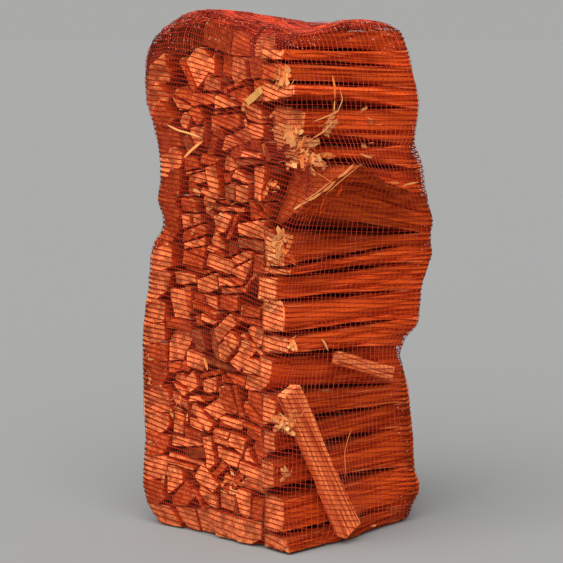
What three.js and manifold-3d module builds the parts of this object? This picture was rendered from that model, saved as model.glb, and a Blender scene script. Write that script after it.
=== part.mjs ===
// A net of kindling: split softwood sticks stacked in a tall column, all lying the same way,
// inside a knitted tube net that is drawn together under the base and over the top.
// Millimetres, +Z up. The sticks lie along Y, so their sawn ends show at -Y (front) and +Y (back),
// and the flanks of the outermost sticks show at -X (left) and +X (right).
// The origin is the middle of the footprint, on the floor.

import * as THREE from "three";
import Module from "manifold-3d";

// Sticks
const STICK_LENGTH = 200;
const FRONT_Y = -STICK_LENGTH / 2;
const BACK_Y = STICK_LENGTH / 2;
const END_SCATTER = 9; // sawn ends stand up to this far behind the foremost
const LEFT_SCATTER = 3; // and less at the left, where they shape the outline
const STICK_GAP = 0.5; // each stick keeps this far inside its place in the stack
const CORNER_CUT = [0.15, 0.42]; // share of an edge that a split-off corner takes
const CUT_CHANCE = 0.6; // how many sticks have lost a corner

// The regular part of the stack: columns and rows of sticks seen from the front
const COLUMNS = 5;
const ROWS = 21;
const COLUMN_JITTER = 5;
const ROW_JITTER = 4.5;
const INNER_OVERLAP = 0.2; // the inner sticks run into each other, so that they are one body
const END_STEP = 4; // their ends stand at depths this far apart
const WARP = 1.6; // how much the outer edges differ between front and back
const STACK_HEIGHT = 500;
const STACK_RIGHT = 62; // the regular part ends here
const RIGHT_INNER = 64.5; // and the right-hand sticks begin
const SEED = 20;

// Net
const NET_WALL = 1;
const NET_CLEARANCE = 1.2;
const CROWN_CLEARANCE = 2; // over the top, where the strands are longer
const STRAND_WIDTH = 3.2;
const WALES_PER_FACE = 4;
const WALES = 4 * WALES_PER_FACE;
const FLOOR_Z = 1.6; // the lowest sticks lie on the net
const NET_LEVELS = [0, 26, 70, 114, 154, 188, 214, 262, 312, 350, 396, 440, 474];
const CROWN_ANGLES = [0, 40, 64, 84]; // from the highest level up to the gather, in degrees
const CROWN_HEIGHT = 56;
const MEAN_REACH = 90; // from the middle of a footprint to its sides
const BASE_RINGS = [0.14, 0.56]; // shares of the footprint, from the gather outwards
const POINTS_ALONG = 24; // points noted on each face of a stick, for the net to clear
const POINTS_ACROSS = 6;
const FOOTPRINT_BAND = 14; // sticks this near a level shape its footprint
const CORNER_ZONE = 55; // and this far out shape its corners
const TIGHT_START = 0.8; // share of the footprint that the net is pushed out from
const SETTLE_PASSES = 120;
const SETTLE_EASY = 84; // passes with small steps, before the last ones leave no stick outside
const SETTLE_STEP = 0.3;
const SETTLE_PULL = 0.002; // the net draws in again where nothing holds it out
const GATHER_RINGS = [[8, 1.5], [6, 4], [3, 5.5]]; // radius and height of the knot's steps

// Left outline of the stack: [height, x], with its waist at two thirds of the height
const LEFT_OUTLINE = [
  [0, -86], [20, -99], [60, -103], [110, -104], [170, -106], [220, -102], [245, -98],
  [300, -85], [322, -72], [346, -78], [385, -75], [412, -81], [440, -94], [470, -98], [500, -87],
];
// Top of the stack: [x, height], fullest left of the middle
const TOP_OUTLINE = [[-100, 488], [-80, 510], [-55, 529], [-30, 528], [0, 518], [30, 518], [70, 515]];
const TOP_SETBACK = [18, 6]; // how much shorter the two highest rows are at each end

// The right-hand sticks from the floor up. front and back give the heights of the lower and upper
// edge at FRONT_Y and BACK_Y, outer the x of the flank there, and ends the y where the stick is sawn.
const RIGHT_STICKS = [
  { front: [FLOOR_Z, 17], back: [FLOOR_Z, 16.5], outer: [102, 92], ends: [-99, 99] },
  { front: [19, 54], back: [18.5, 54], outer: [90, 99], ends: [-97, 108] },
  { front: [66, 91], back: [64, 99], outer: [83, 94], ends: [-101, 104] },
  { front: [100, 120], back: [106, 127], outer: [82, 93], ends: [-97, 101] },
  { front: [131, 151], back: [129.5, 145], outer: [82, 92], ends: [-100, 97] },
  { front: [172, 196], back: [149, 186], outer: [81, 84], ends: [-102, 85] },
  { front: [201, 219], back: [195, 217], outer: [97, 99], ends: [-100, 88] },
  { front: [222, 251], back: [221, 247], outer: [97, 103], ends: [-101, 101] },
  { front: [254, 277], back: [251, 275], outer: [87, 105], ends: [-105, 108] },
  { front: [279, 285], back: [281, 299], outer: [101, 108], ends: [-97, 111] },
  { front: [287, 314], back: [301, 305], outer: [96, 106], ends: [-98, 66] },
  { front: [341, 392], back: [307, 345], outer: [116, 111], ends: [-82, 112], lean: 15, cutBack: 30 },
  { front: [394, 397], back: [350, 366], outer: [97, 102], ends: [22, 103] },
  { front: [394, 402], back: [384, 394], outer: [103, 104], ends: [-68, 91] },
  { front: [417, 440], back: [405, 433], outer: [104, 102], ends: [-84, 95] },
  { front: [455, 467], back: [442, 458], outer: [106, 103], ends: [-100, 96] },
  { front: [468.5, 487], back: [459.5, 479], outer: [98, 102], ends: [-102, 88] },
  { front: [488.5, 500], back: [480.5, 494], outer: [97, 97], ends: [-101, 80] },
  { front: [501.5, 512], back: [496, 515], outer: [80, 91], ends: [-66, 86] },
];

// Two loose sticks caught between the stack and the net, on the right-hand side.
// start and end are the middle of the inner edge of the two ends.
const LEANING = { start: [86.5, -91, 165], end: [103, -17, 12], width: 26, depth: 13 };
const CROSSED = { start: [90, -22, 189.5], end: [91, 64, 162], width: 15, depth: 10 };
const FLANK_LEAN = 3; // how far the right-hand flanks are off upright
const SEAT_DEPTH = [26, 9]; // they meet this far behind their flanks, in front and at the back
const SEAT_LEAST = 3; // and at least this wide
const SEAT_RISE = 0.3; // how much higher a stick is there, at the least
const SAW_SLANT = 3; // how far a sawn end is off square

const SOFTWOOD = { color: 0xc8641f, roughness: 0.72, metalness: 0 };
const SAWN_CORE = { color: 0xd98a4a, roughness: 0.78, metalness: 0 };
const NET_FILM = { color: 0xc4301a, roughness: 0.42, metalness: 0 };

const wasm = await Module();
wasm.setup();

// Repeatable random numbers from 0 to 1
function randomSource(seed) {
  let state = seed >>> 0;
  return () => {
    state = (Math.imul(state, 1664525) + 1013904223) >>> 0;
    return state / 2 ** 32;
  };
}
const random = randomSource(SEED);
const spread = (amount) => (random() * 2 - 1) * amount;
const mix = THREE.MathUtils.lerp;
const snap = (value, step) => Math.round(value / step) * step;

// Value of an outline given as [at, value] pairs, with straight lines between them
function along(outline, at) {
  const next = outline.findIndex(([x]) => x >= at);
  if (next === 0) return outline[0][1];
  if (next < 0) return outline.at(-1)[1];
  const [[x0, v0], [x1, v1]] = [outline[next - 1], outline[next]];
  return mix(v0, v1, (at - x0) / (x1 - x0));
}

// A convex outline, counter-clockwise in x and z, with every side moved inwards
function inset(outline, distance) {
  const sides = outline.map((p, i) => {
    const q = outline[(i + 1) % outline.length];
    const direction = q.clone().sub(p).normalize();
    const inward = new THREE.Vector2(-direction.y, direction.x);
    return { point: p.clone().addScaledVector(inward, distance), direction };
  });
  return sides.map((side, i) => {
    const before = sides[(i + sides.length - 1) % sides.length];
    const gap = side.point.clone().sub(before.point);
    const run = gap.cross(side.direction) / before.direction.cross(side.direction);
    return before.point.clone().addScaledVector(before.direction, run);
  });
}

// Both end outlines with one corner split off at the same place
function splitCorner(front, back) {
  const corner = Math.floor(random() * front.length);
  const [a, b] = [mix(...CORNER_CUT, random()), mix(...CORNER_CUT, random())];
  return [front, back].map((outline) => {
    const n = outline.length;
    const here = outline[corner];
    const cut = [
      here.clone().lerp(outline[(corner + n - 1) % n], a),
      here.clone().lerp(outline[(corner + 1) % n], b),
    ];
    return [...outline.slice(0, corner), ...cut, ...outline.slice(corner + 1)];
  });
}

// A closed solid through sections of equal point count, from front to back.
// Twisted side faces are folded inwards, so that neighbours stay apart.
function loft(sections) {
  const n = sections[0].length;
  const positions = sections.flat().flatMap((p) => [p.x, p.y, p.z]);
  const index = [];
  for (let s = 0; s + 1 < sections.length; s++) {
    for (let k = 0; k < n; k++) {
      const [a, b] = [s * n + k, s * n + ((k + 1) % n)];
      const [c, d] = [b + n, a + n];
      const corner = (i) => new THREE.Vector3().fromArray(positions, 3 * i);
      const [pa, pb, pc, pd] = [a, b, c, d].map(corner);
      const outward = pd.clone().sub(pb).cross(pc.clone().sub(pa));
      const foldAC = pa.clone().add(pc).sub(pb).sub(pd).dot(outward) < 0;
      index.push(...(foldAC ? [a, d, c, a, c, b] : [a, d, b, b, d, c]));
    }
  }
  const last = (sections.length - 1) * n;
  for (let k = 1; k + 1 < n; k++) {
    index.push(0, k, k + 1);
    index.push(last, last + k + 1, last + k);
  }
  const geometry = new THREE.BufferGeometry();
  geometry.setAttribute("position", new THREE.Float32BufferAttribute(positions, 3));
  geometry.setIndex(index);
  return geometry;
}

const group = new THREE.Group();
const woodPoints = []; // points on the sticks' surfaces, which the net goes around

function addPiece(name, geometry, finish) {
  const mesh = new THREE.Mesh(geometry, new THREE.MeshStandardMaterial(finish));
  mesh.geometry.computeVertexNormals();
  mesh.name = name;
  group.add(mesh);
}

// Points spread over the side faces between two sections
function notePoints(sections) {
  for (let s = 0; s + 1 < sections.length; s++) {
    const [front, back] = [sections[s], sections[s + 1]];
    front.forEach((p, k) => {
      const q = (k + 1) % front.length;
      for (let i = 0; i <= POINTS_ALONG; i++) {
        for (let j = 0; j <= POINTS_ACROSS; j++) {
          const low = p.clone().lerp(back[k], i / POINTS_ALONG);
          const high = front[q].clone().lerp(back[q], i / POINTS_ALONG);
          woodPoints.push(low.lerp(high, j / POINTS_ACROSS));
        }
      }
    });
  }
}

// A stick from its two end outlines and the y of its ends, which are sawn a little off square.
// cutBack moves the upper edge of the front end back.
function stickSections(front, back, ends, cutBack = 0) {
  const middle = front.map((p, k) => p.clone().add(back[k]).multiplyScalar(0.5));
  const place = (outline, y, slant, back = 0) => {
    const box = new THREE.Box2().setFromPoints(outline);
    const [centre, size] = [box.getCenter(new THREE.Vector2()), box.getSize(new THREE.Vector2())];
    return outline.map((p) => {
      const skew = (slant * (p.x - centre.x)) / size.x + (back * (p.y - box.min.y)) / size.y;
      return new THREE.Vector3(p.x, y + skew, p.y);
    });
  };
  return [
    place(front, ends[0], spread(SAW_SLANT), cutBack),
    place(middle, (ends[0] + ends[1]) / 2, 0),
    place(back, ends[1], spread(SAW_SLANT)),
  ];
}

function addStick(name, sections) {
  addPiece(name, loft(sections), SOFTWOOD);
  notePoints(sections);
}

// The regular part of the stack

const grid = [];
for (let c = 0; c <= COLUMNS; c++) {
  grid.push([]);
  for (let r = 0; r <= ROWS; r++) {
    const share = c / COLUMNS;
    const guess = mix(FLOOR_Z, STACK_HEIGHT, r / ROWS);
    const left = along(LEFT_OUTLINE, guess);
    const inside = { x: c > 0 && c < COLUMNS, z: r > 0 && r < ROWS };
    const x = mix(left, STACK_RIGHT, share) + (inside.x ? spread(COLUMN_JITTER) : 0);
    const z = mix(FLOOR_Z, along(TOP_OUTLINE, x), r / ROWS) + (inside.z ? spread(ROW_JITTER) : 0);
    const warp = new THREE.Vector2(c === 0 ? spread(WARP) : 0, r === ROWS ? spread(WARP) : 0);
    grid[c].push({ front: new THREE.Vector2(x, z).sub(warp), back: new THREE.Vector2(x, z).add(warp) });
  }
}

function placeOutline(c, r, end) {
  return [grid[c][r], grid[c + 1][r], grid[c + 1][r + 1], grid[c][r + 1]].map((point) => point[end]);
}

function scatteredEnds(row, scatter) {
  const setback = TOP_SETBACK[ROWS - 1 - row] ?? 0;
  return [FRONT_Y + setback + random() * scatter, BACK_Y - setback - random() * scatter];
}

// The outer sticks are pieces of their own. The sticks inside, of which only the ends show,
// are one solid of their form, each end standing at its own depth.
let innerSolid = null;

function toManifold(geometry) {
  return new wasm.Manifold(new wasm.Mesh({
    numProp: 3,
    vertProperties: geometry.attributes.position.array,
    triVerts: new Uint32Array(geometry.index.array),
  }));
}

function toGeometry(solid) {
  const { vertProperties, triVerts } = solid.getMesh();
  const geometry = new THREE.BufferGeometry();
  geometry.setAttribute("position", new THREE.Float32BufferAttribute(vertProperties, 3));
  return geometry.setIndex(Array.from(triVerts));
}

const twoDigits = (number) => String(number).padStart(2, "0");

for (let c = 0; c < COLUMNS; c++) {
  for (let r = 0; r < ROWS; r++) {
    const ends = scatteredEnds(r, c > 0 ? END_SCATTER : LEFT_SCATTER);
    if (c > 0 && r > 0 && r < ROWS - 1) {
      const outline = inset(placeOutline(c, r, "front"), -INNER_OVERLAP);
      const sections = ends.map((y) => outline.map((p) => new THREE.Vector3(p.x, snap(y, END_STEP), p.y)));
      const stick = toManifold(loft(sections));
      innerSolid = innerSolid ? innerSolid.add(stick) : stick;
      notePoints(sections);
      continue;
    }
    let [front, back] = ["front", "back"].map((end) => inset(placeOutline(c, r, end), STICK_GAP));
    if (random() < CUT_CHANCE) [front, back] = splitCorner(front, back);
    if (c > 0) {
      const [row, number] = r === 0 ? ["bottom", c] : ["top", c];
      addStick(`${row}_stick_${number}`, stickSections(front, back, ends));
    } else {
      addStick(`left_stick_${twoDigits(r + 1)}`, stickSections(front, back, ends));
    }
  }
}
addPiece("inner_sticks", toGeometry(innerSolid), SAWN_CORE);

// The right-hand sticks

// Height of the line where two of them meet, a share t of the way from front to back
const meetingHeight = (lower, upper, t) =>
  mix((lower.front[1] + upper.front[0]) / 2, (lower.back[1] + upper.back[0]) / 2, t);

RIGHT_STICKS.forEach(({ front, back, outer, ends, lean = spread(FLANK_LEAN), cutBack }, i) => {
  const [below, here, above] = [RIGHT_STICKS[i - 1], RIGHT_STICKS[i], RIGHT_STICKS[i + 1]];
  const outlineAt = (y) => {
    const t = (y - FRONT_Y) / STICK_LENGTH;
    const [low, high] = [mix(front[0], back[0], t), mix(front[1], back[1], t)];
    const [flank, offset] = [mix(...outer, t), lean * (1 - t)];
    const seat = Math.max(RIGHT_INNER + SEAT_LEAST, flank - Math.abs(offset) - mix(...SEAT_DEPTH, t));
    const outline = [[flank - offset, low], [flank + offset, high]];
    if (above) {
      const top = Math.max(high + SEAT_RISE, meetingHeight(here, above, t) - STICK_GAP / 2);
      outline.push([seat, top], [RIGHT_INNER, top]);
    } else {
      outline.push([RIGHT_INNER, high]);
    }
    if (below) {
      const bottom = Math.min(low - SEAT_RISE, meetingHeight(below, here, t) + STICK_GAP / 2);
      outline.push([RIGHT_INNER, bottom], [seat, bottom]);
    } else {
      outline.push([RIGHT_INNER, low]);
    }
    return outline.map(([x, z]) => new THREE.Vector2(x, z));
  };
  const sections = stickSections(outlineAt(ends[0]), outlineAt(ends[1]), ends, cutBack);
  addStick(`right_stick_${twoDigits(i + 1)}`, sections);
});

// The loose sticks on the right-hand side

function looseStick({ start, end, width, depth }) {
  const [from, to] = [new THREE.Vector3(...start), new THREE.Vector3(...end)];
  const across = to.clone().sub(from).setX(0).normalize();
  across.applyAxisAngle(new THREE.Vector3(1, 0, 0), Math.PI / 2);
  return [from, to].map((middle) =>
    [[0, -1], [depth, -1], [depth, 1], [0, 1]].map(([out, side]) =>
      middle.clone().addScaledVector(across, (side * width) / 2).add(new THREE.Vector3(out, 0, 0))));
}
addStick("leaning_stick", looseStick(LEANING));
addStick("crossed_stick", looseStick(CROSSED));

// The net

// The footprint that the sticks need around one height: four corners and their middle
function footprintAt(z) {
  const near = woodPoints.filter((p) => Math.abs(p.z - z) < FOOTPRINT_BAND);
  const corners = [[-1, -1], [1, -1], [1, 1], [-1, 1]].map(([sx, sy]) => {
    const x = Math.max(...near.filter((p) => sy * p.y > CORNER_ZONE).map((p) => sx * p.x));
    const y = Math.max(...near.filter((p) => sx * p.x > CORNER_ZONE).map((p) => sy * p.y));
    return new THREE.Vector2(sx * x, sy * y);
  });
  return { corners, middle: meanOf(corners) };
}

function meanOf(points) {
  const sum = points[0].clone().multiplyScalar(0);
  points.forEach((p) => sum.add(p));
  return sum.divideScalar(points.length);
}
const footprints = NET_LEVELS.map(footprintAt);
const crownSeat = NET_LEVELS.at(-1);
const crownRows = CROWN_ANGLES.map(THREE.MathUtils.degToRad);

// The footprint at any height, between those of the levels
function footprintBetween(z) {
  if (z >= crownSeat) return { ...footprints.at(-1), row: NET_LEVELS.length - 1, t: 0 };
  const next = Math.max(1, NET_LEVELS.findIndex((level) => level >= z));
  const t = (z - NET_LEVELS[next - 1]) / (NET_LEVELS[next] - NET_LEVELS[next - 1]);
  const [low, high] = [footprints[next - 1], footprints[next]];
  return {
    corners: low.corners.map((corner, i) => corner.clone().lerp(high.corners[i], t)),
    middle: low.middle.clone().lerp(high.middle, t),
    row: next - 1,
    t,
  };
}

// Where a point of the wood lies on the net: between which rows and wales, and how far out.
// 1 is the edge of the footprint. Over the top, rows are angles and how far out is a radius.
// Wales are counted from the front left corner towards +X.
function placeOnNet(p) {
  const { corners, middle, row, t } = footprintBetween(p.z);
  const point = new THREE.Vector2(p.x, p.y).sub(middle);
  const arms = corners.map((corner) => corner.clone().sub(middle));
  let [share, wale] = [1e-6, 0];
  arms.forEach((arm, face) => {
    const next = arms[(face + 1) % 4];
    const [a, b] = [point.cross(next) / arm.cross(next), arm.cross(point) / arm.cross(next)];
    if (a >= 0 && b >= 0 && a + b > 0) [share, wale] = [a + b, (face + b / (a + b)) * WALES_PER_FACE];
  });
  if (p.z < crownSeat) return { row, t, wale, out: share };
  const rise = (p.z - crownSeat) / CROWN_HEIGHT;
  const angle = Math.min(Math.atan2(rise, share), crownRows.at(-1) - 1e-6);
  const step = crownRows.findIndex((limit) => limit > angle) - 1;
  const bend = crownRows[step + 1] - crownRows[step];
  const between = (angle - crownRows[step]) / bend;
  return { row: row + step, t: between, wale, out: Math.hypot(share, rise), bend };
}

// How far out the net stands at each crossing: from a tight start it is pushed out by the wood.
function settleNet() {
  const rows = NET_LEVELS.length + crownRows.length - 1;
  const reach = Array.from({ length: rows }, () => new Array(WALES).fill(TIGHT_START));
  const needs = woodPoints.map(placeOnNet).filter(({ out }) => out > TIGHT_START / 2);
  for (let pass = 0; pass < SETTLE_PASSES; pass++) {
    const push = reach.map((row) => row.map(() => 0));
    needs.forEach(({ row, t, wale, out, bend = 0 }) => {
      const [w0, f] = [Math.floor(wale) % WALES, wale % 1];
      const w1 = (w0 + 1) % WALES;
      const parts = [(1 - t) * (1 - f), (1 - t) * f, t * (1 - f), t * f];
      const spots = [[row, w0], [row, w1], [row + 1, w0], [row + 1, w1]];
      const flat = Math.cos(bend / 2) / Math.cos((t - 0.5) * bend); // a straight strand cuts the corner
      const stands = flat * spots.reduce((sum, [r, w], i) => sum + reach[r][w] * parts[i], 0);
      const clear = bend ? CROWN_CLEARANCE / CROWN_HEIGHT : NET_CLEARANCE / MEAN_REACH;
      const lack = (out + clear - stands) / flat;
      if (lack <= 0) return;
      const weight = parts.reduce((sum, part) => sum + part * part, 0);
      spots.forEach(([r, w], i) => {
        push[r][w] = Math.max(push[r][w], (lack * parts[i]) / weight);
      });
    });
    push.forEach((row, r) => row.forEach((amount, w) => {
      reach[r][w] += pass < SETTLE_EASY ? amount * SETTLE_STEP - SETTLE_PULL : amount;
    }));
  }
  return reach;
}

// Rows of crossings from the gather under the base to the gather on top, for one face of the net
function netRows(reach, outside) {
  const wall = outside ? NET_WALL : 0;
  const crossing = ({ corners, middle }, share, wale, z) => {
    const face = Math.floor(wale / WALES_PER_FACE);
    const t = (wale % WALES_PER_FACE) / WALES_PER_FACE;
    const edge = corners[face].clone().lerp(corners[(face + 1) % 4], t);
    const p = middle.clone().lerp(edge, share);
    return new THREE.Vector3(p.x, p.y, z);
  };
  const ring = (place) => Array.from({ length: WALES }, (_, wale) => place(wale));
  const grown = (row, wale) =>
    reach[row][wale] + wall / (row < NET_LEVELS.length ? MEAN_REACH : CROWN_HEIGHT);
  const rows = BASE_RINGS.map((share) =>
    ring((wale) => crossing(footprints[0], share * grown(0, wale), wale, NET_WALL - wall)));
  NET_LEVELS.forEach((z, row) => {
    const height = row === 0 ? NET_WALL - wall : z;
    rows.push(ring((wale) => crossing(footprints[row], grown(row, wale), wale, height)));
  });
  crownRows.slice(1).forEach((angle, i) => {
    const row = NET_LEVELS.length + i;
    rows.push(ring((wale) => {
      const out = grown(row, wale);
      const z = crownSeat + CROWN_HEIGHT * out * Math.sin(angle);
      return crossing(footprints.at(-1), out * Math.cos(angle), wale, z);
    }));
  });
  return rows;
}

function makeNet() {
  const reach = settleNet();
  const [outer, inner] = [netRows(reach, true), netRows(reach, false)];
  const triangles = [];
  const triangle = (...points) => triangles.push(...points.flatMap((p) => p.toArray()));
  const quad = (a, b, c, d) => {
    triangle(a, b, c);
    triangle(a, c, d);
  };
  const cell = (rows, r, w) => {
    const next = (w + 1) % WALES;
    return [rows[r][w], rows[r][next], rows[r + 1][next], rows[r + 1][w]];
  };
  const within = ([a, b, c, d], u, v) => a.clone().lerp(b, u).lerp(d.clone().lerp(c, u), v);
  const windowOf = (corners, u, v) =>
    [[u, v], [1 - u, v], [1 - u, 1 - v], [u, 1 - v]].map(([s, t]) => within(corners, s, t));

  for (let r = 0; r + 1 < outer.length; r++) {
    for (let w = 0; w < WALES; w++) {
      const [front, back] = [cell(outer, r, w), cell(inner, r, w)];
      const width = (front[0].distanceTo(front[1]) + front[3].distanceTo(front[2])) / 2;
      const height = (front[0].distanceTo(front[3]) + front[1].distanceTo(front[2])) / 2;
      const [u, v] = [width, height].map((size) => Math.min(0.3, STRAND_WIDTH / 2 / size));
      const [frontHole, backHole] = [windowOf(front, u, v), windowOf(back, u, v)];
      for (let k = 0; k < 4; k++) {
        const q = (k + 1) % 4;
        quad(front[k], front[q], frontHole[q], frontHole[k]);
        quad(back[q], back[k], backHole[k], backHole[q]);
        quad(frontHole[k], frontHole[q], backHole[q], backHole[k]);
      }
    }
  }
  // The gathers: flat under the base, a low knot on top
  const close = (ring, tip, facingUp) => ring.forEach((p, w) => {
    const q = ring[(w + 1) % WALES];
    triangle(...(facingUp ? [p, q, tip] : [q, p, tip]));
  });
  close(outer[0], meanOf(outer[0]), false);
  close(inner[0], meanOf(inner[0]), true);
  close(inner.at(-1), meanOf(inner.at(-1)), false);
  const seat = meanOf(outer.at(-1));
  let ring = outer.at(-1);
  GATHER_RINGS.forEach(([radius, rise]) => {
    const step = ring.map((p) => {
      const turn = Math.atan2(p.y - seat.y, p.x - seat.x);
      return new THREE.Vector3(radius * Math.cos(turn), radius * Math.sin(turn), rise).add(seat);
    });
    ring.forEach((p, w) => quad(p, ring[(w + 1) % WALES], step[(w + 1) % WALES], step[w]));
    ring = step;
  });
  close(ring, meanOf(ring), true);

  const geometry = new THREE.BufferGeometry();
  geometry.setAttribute("position", new THREE.Float32BufferAttribute(triangles, 3));
  return geometry;
}
addPiece("net", makeNet(), NET_FILM);

// The middle of the footprint is the origin
const bounds = new THREE.Box3().setFromObject(group);
const middle = bounds.getCenter(new THREE.Vector3());
group.children.forEach((mesh) => mesh.position.set(-middle.x, -middle.y, 0));

export default group;
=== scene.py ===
import math

import bpy
import numpy as np
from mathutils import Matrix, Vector
from mathutils.bvhtree import BVHTree


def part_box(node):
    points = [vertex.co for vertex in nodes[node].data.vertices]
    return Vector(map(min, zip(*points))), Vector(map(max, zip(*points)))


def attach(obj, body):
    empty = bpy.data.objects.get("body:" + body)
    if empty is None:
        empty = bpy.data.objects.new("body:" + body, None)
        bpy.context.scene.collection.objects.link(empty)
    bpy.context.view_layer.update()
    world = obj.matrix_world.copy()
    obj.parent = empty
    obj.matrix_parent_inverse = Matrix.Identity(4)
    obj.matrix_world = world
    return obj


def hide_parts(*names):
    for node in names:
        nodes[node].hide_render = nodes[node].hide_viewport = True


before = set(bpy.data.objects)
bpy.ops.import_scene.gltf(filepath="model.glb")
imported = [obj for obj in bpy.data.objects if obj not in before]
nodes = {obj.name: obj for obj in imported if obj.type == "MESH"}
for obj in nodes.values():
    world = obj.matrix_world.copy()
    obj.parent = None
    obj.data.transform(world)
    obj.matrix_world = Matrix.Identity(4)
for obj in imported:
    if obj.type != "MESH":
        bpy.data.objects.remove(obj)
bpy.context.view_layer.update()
print("frame loaded:", len(nodes), "nodes")

mm = 0.001
# measured places count from the middle of the stack, and the frame's origin lies a little beside it
rightColumn, stickFronts = 64.5 * mm, -100 * mm
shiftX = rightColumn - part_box("right_stick_08")[0].x
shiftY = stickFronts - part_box("inner_sticks")[0].y
stackShift = np.array([shiftX, shiftY, 0.0])


def place(x, y, z):  # millimetres from the stack's middle to metres in the frame
    return np.array([x, y, z]) * mm - stackShift


def unit(v):
    return v / np.maximum(np.linalg.norm(v, axis=-1, keepdims=True), 1e-12)


hashPrimes = np.array([374761393, 668265263, 362437])
hashMixes = ((15, 2246822519), (13, 3266489917))  # shift and factor of each round
seedPrime, wordMask = 12741261, 0xFFFFFFFF


def valueNoise(points, seed):  # smooth noise from -1 to 1, one value a point
    points = np.asarray(points, float)
    cell = np.floor(points).astype(np.int64)
    part = points - cell
    part = part * part * (3 - 2 * part)
    total = np.zeros(points.shape[:-1])
    for corner in range(8):
        step = np.array([corner & 1, corner >> 1 & 1, corner >> 2 & 1])
        key = ((cell + step) @ hashPrimes + seed * seedPrime) & wordMask
        key = key.astype(np.uint64)
        for shift, factor in hashMixes:
            key = ((key ^ (key >> np.uint64(shift))) * np.uint64(factor)) & np.uint64(wordMask)
        weight = np.prod(np.where(step, part, 1 - part), axis=-1)
        total += weight * ((key >> np.uint64(8)).astype(float) / 0x7FFFFF - 1)
    return total


def flatNoise(seed, *coords):  # the same from separate coordinates, some of them plain numbers
    return valueNoise(np.stack(np.broadcast_arrays(*coords), -1), seed)


rng = np.random.default_rng(11)  # one stream of draws for the whole scene


def newObject(name, data):
    thing = bpy.data.objects.new(name, data)
    bpy.context.scene.collection.objects.link(thing)
    return thing


# camera at the photograph's place

cameraView = {"azimuth": 43.0, "down": 6.87, "distance": 2.098, "eye": 0.5097, "focal": 2019 / 563}


def makeCamera(view):
    turn, down = math.radians(view["azimuth"]), math.radians(view["down"])
    data = bpy.data.cameras.new("photoCamera")
    data.sensor_width = 36
    data.lens = view["focal"] * data.sensor_width
    data.clip_end = 900
    camera = newObject("photoCamera", data)
    spot = np.array([math.sin(turn), -math.cos(turn), 0]) * view["distance"] - stackShift
    camera.location = (spot[0], spot[1], view["eye"])
    ahead = Vector((-math.sin(turn) * math.cos(down), math.cos(turn) * math.cos(down), -math.sin(down)))
    camera.rotation_euler = ahead.to_track_quat("-Z", "Y").to_euler()
    bpy.context.scene.camera = camera


makeCamera(cameraView)

cameraTurn = math.radians(cameraView["azimuth"])
cameraRight = np.array([math.cos(cameraTurn), math.sin(cameraTurn), 0])
netReach = {  # height, and how far the net reaches to either side of the middle as the camera sees it
    -1: [(4, 130), (13, 138), (21, 142), (39, 146), (56, 146), (90, 143), (116, 145), (176, 146),
         (210, 145), (235, 142), (252, 138), (286, 136), (303, 131), (311, 123), (319, 120), (328, 122),
         (345, 128), (361, 125), (378, 124), (394, 126), (411, 129), (428, 134), (444, 140), (477, 142),
         (494, 140), (502, 136), (510, 132), (518, 123)],
    1: [(4, 133), (21, 140), (30, 146), (39, 147), (56, 141), (90, 140), (116, 137), (142, 134),
        (159, 130), (176, 123), (184, 121), (193, 123), (201, 129), (210, 141), (218, 144), (252, 147),
        (269, 153), (286, 158), (303, 155), (319, 158), (328, 157), (345, 149), (378, 144), (394, 135),
        (411, 138), (428, 141), (444, 142), (461, 139), (477, 135), (494, 131), (510, 126), (518, 120)],
}
crownOutline = [  # sideways as the camera sees it, and how high the net stands there
    (-134, 507), (-122, 520), (-110, 530), (-97, 536), (-85, 538), (-60, 538), (-35, 536), (-10, 533),
    (15, 529), (40, 527), (77, 528), (102, 525), (115, 521), (127, 510),
]


def seenAcross(points, side=1):  # how far the camera sees points to one side of the stack's middle
    return ((points + stackShift) @ cameraRight) * side


def reachAt(side, z):
    heights, reach = np.array(netReach[side]).T * mm
    return np.interp(z, heights, reach)


# shader helpers

def newNode(tree, kind, inputs=None, **settings):
    node = tree.nodes.new(kind)
    for key, value in settings.items():
        setattr(node, key, value)
    for key, value in (inputs or {}).items():
        if isinstance(value, bpy.types.NodeSocket):
            tree.links.new(value, node.inputs[key])
        else:
            node.inputs[key].default_value = value
    return node


def mixColour(tree, share, a, b, kind="MIX"):
    node = newNode(tree, "ShaderNodeMix", {0: share, 6: a, 7: b}, data_type="RGBA", blend_type=kind)
    return node.outputs[2]


def remap(tree, value, low, high, to=(0.0, 1.0)):
    spans = {"Value": value, "From Min": low, "From Max": high, "To Min": to[0], "To Max": to[1]}
    return newNode(tree, "ShaderNodeMapRange", spans).outputs["Result"]


def maths(tree, kind, a, b):
    return newNode(tree, "ShaderNodeMath", {0: a, 1: b}, operation=kind).outputs[0]


def attribute(tree, name):
    return newNode(tree, "ShaderNodeAttribute", attribute_name=name)


def newMaterial(name):
    material = bpy.data.materials.new(name)
    material.use_nodes = True
    return material, material.node_tree, material.node_tree.nodes["Principled BSDF"]


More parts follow.
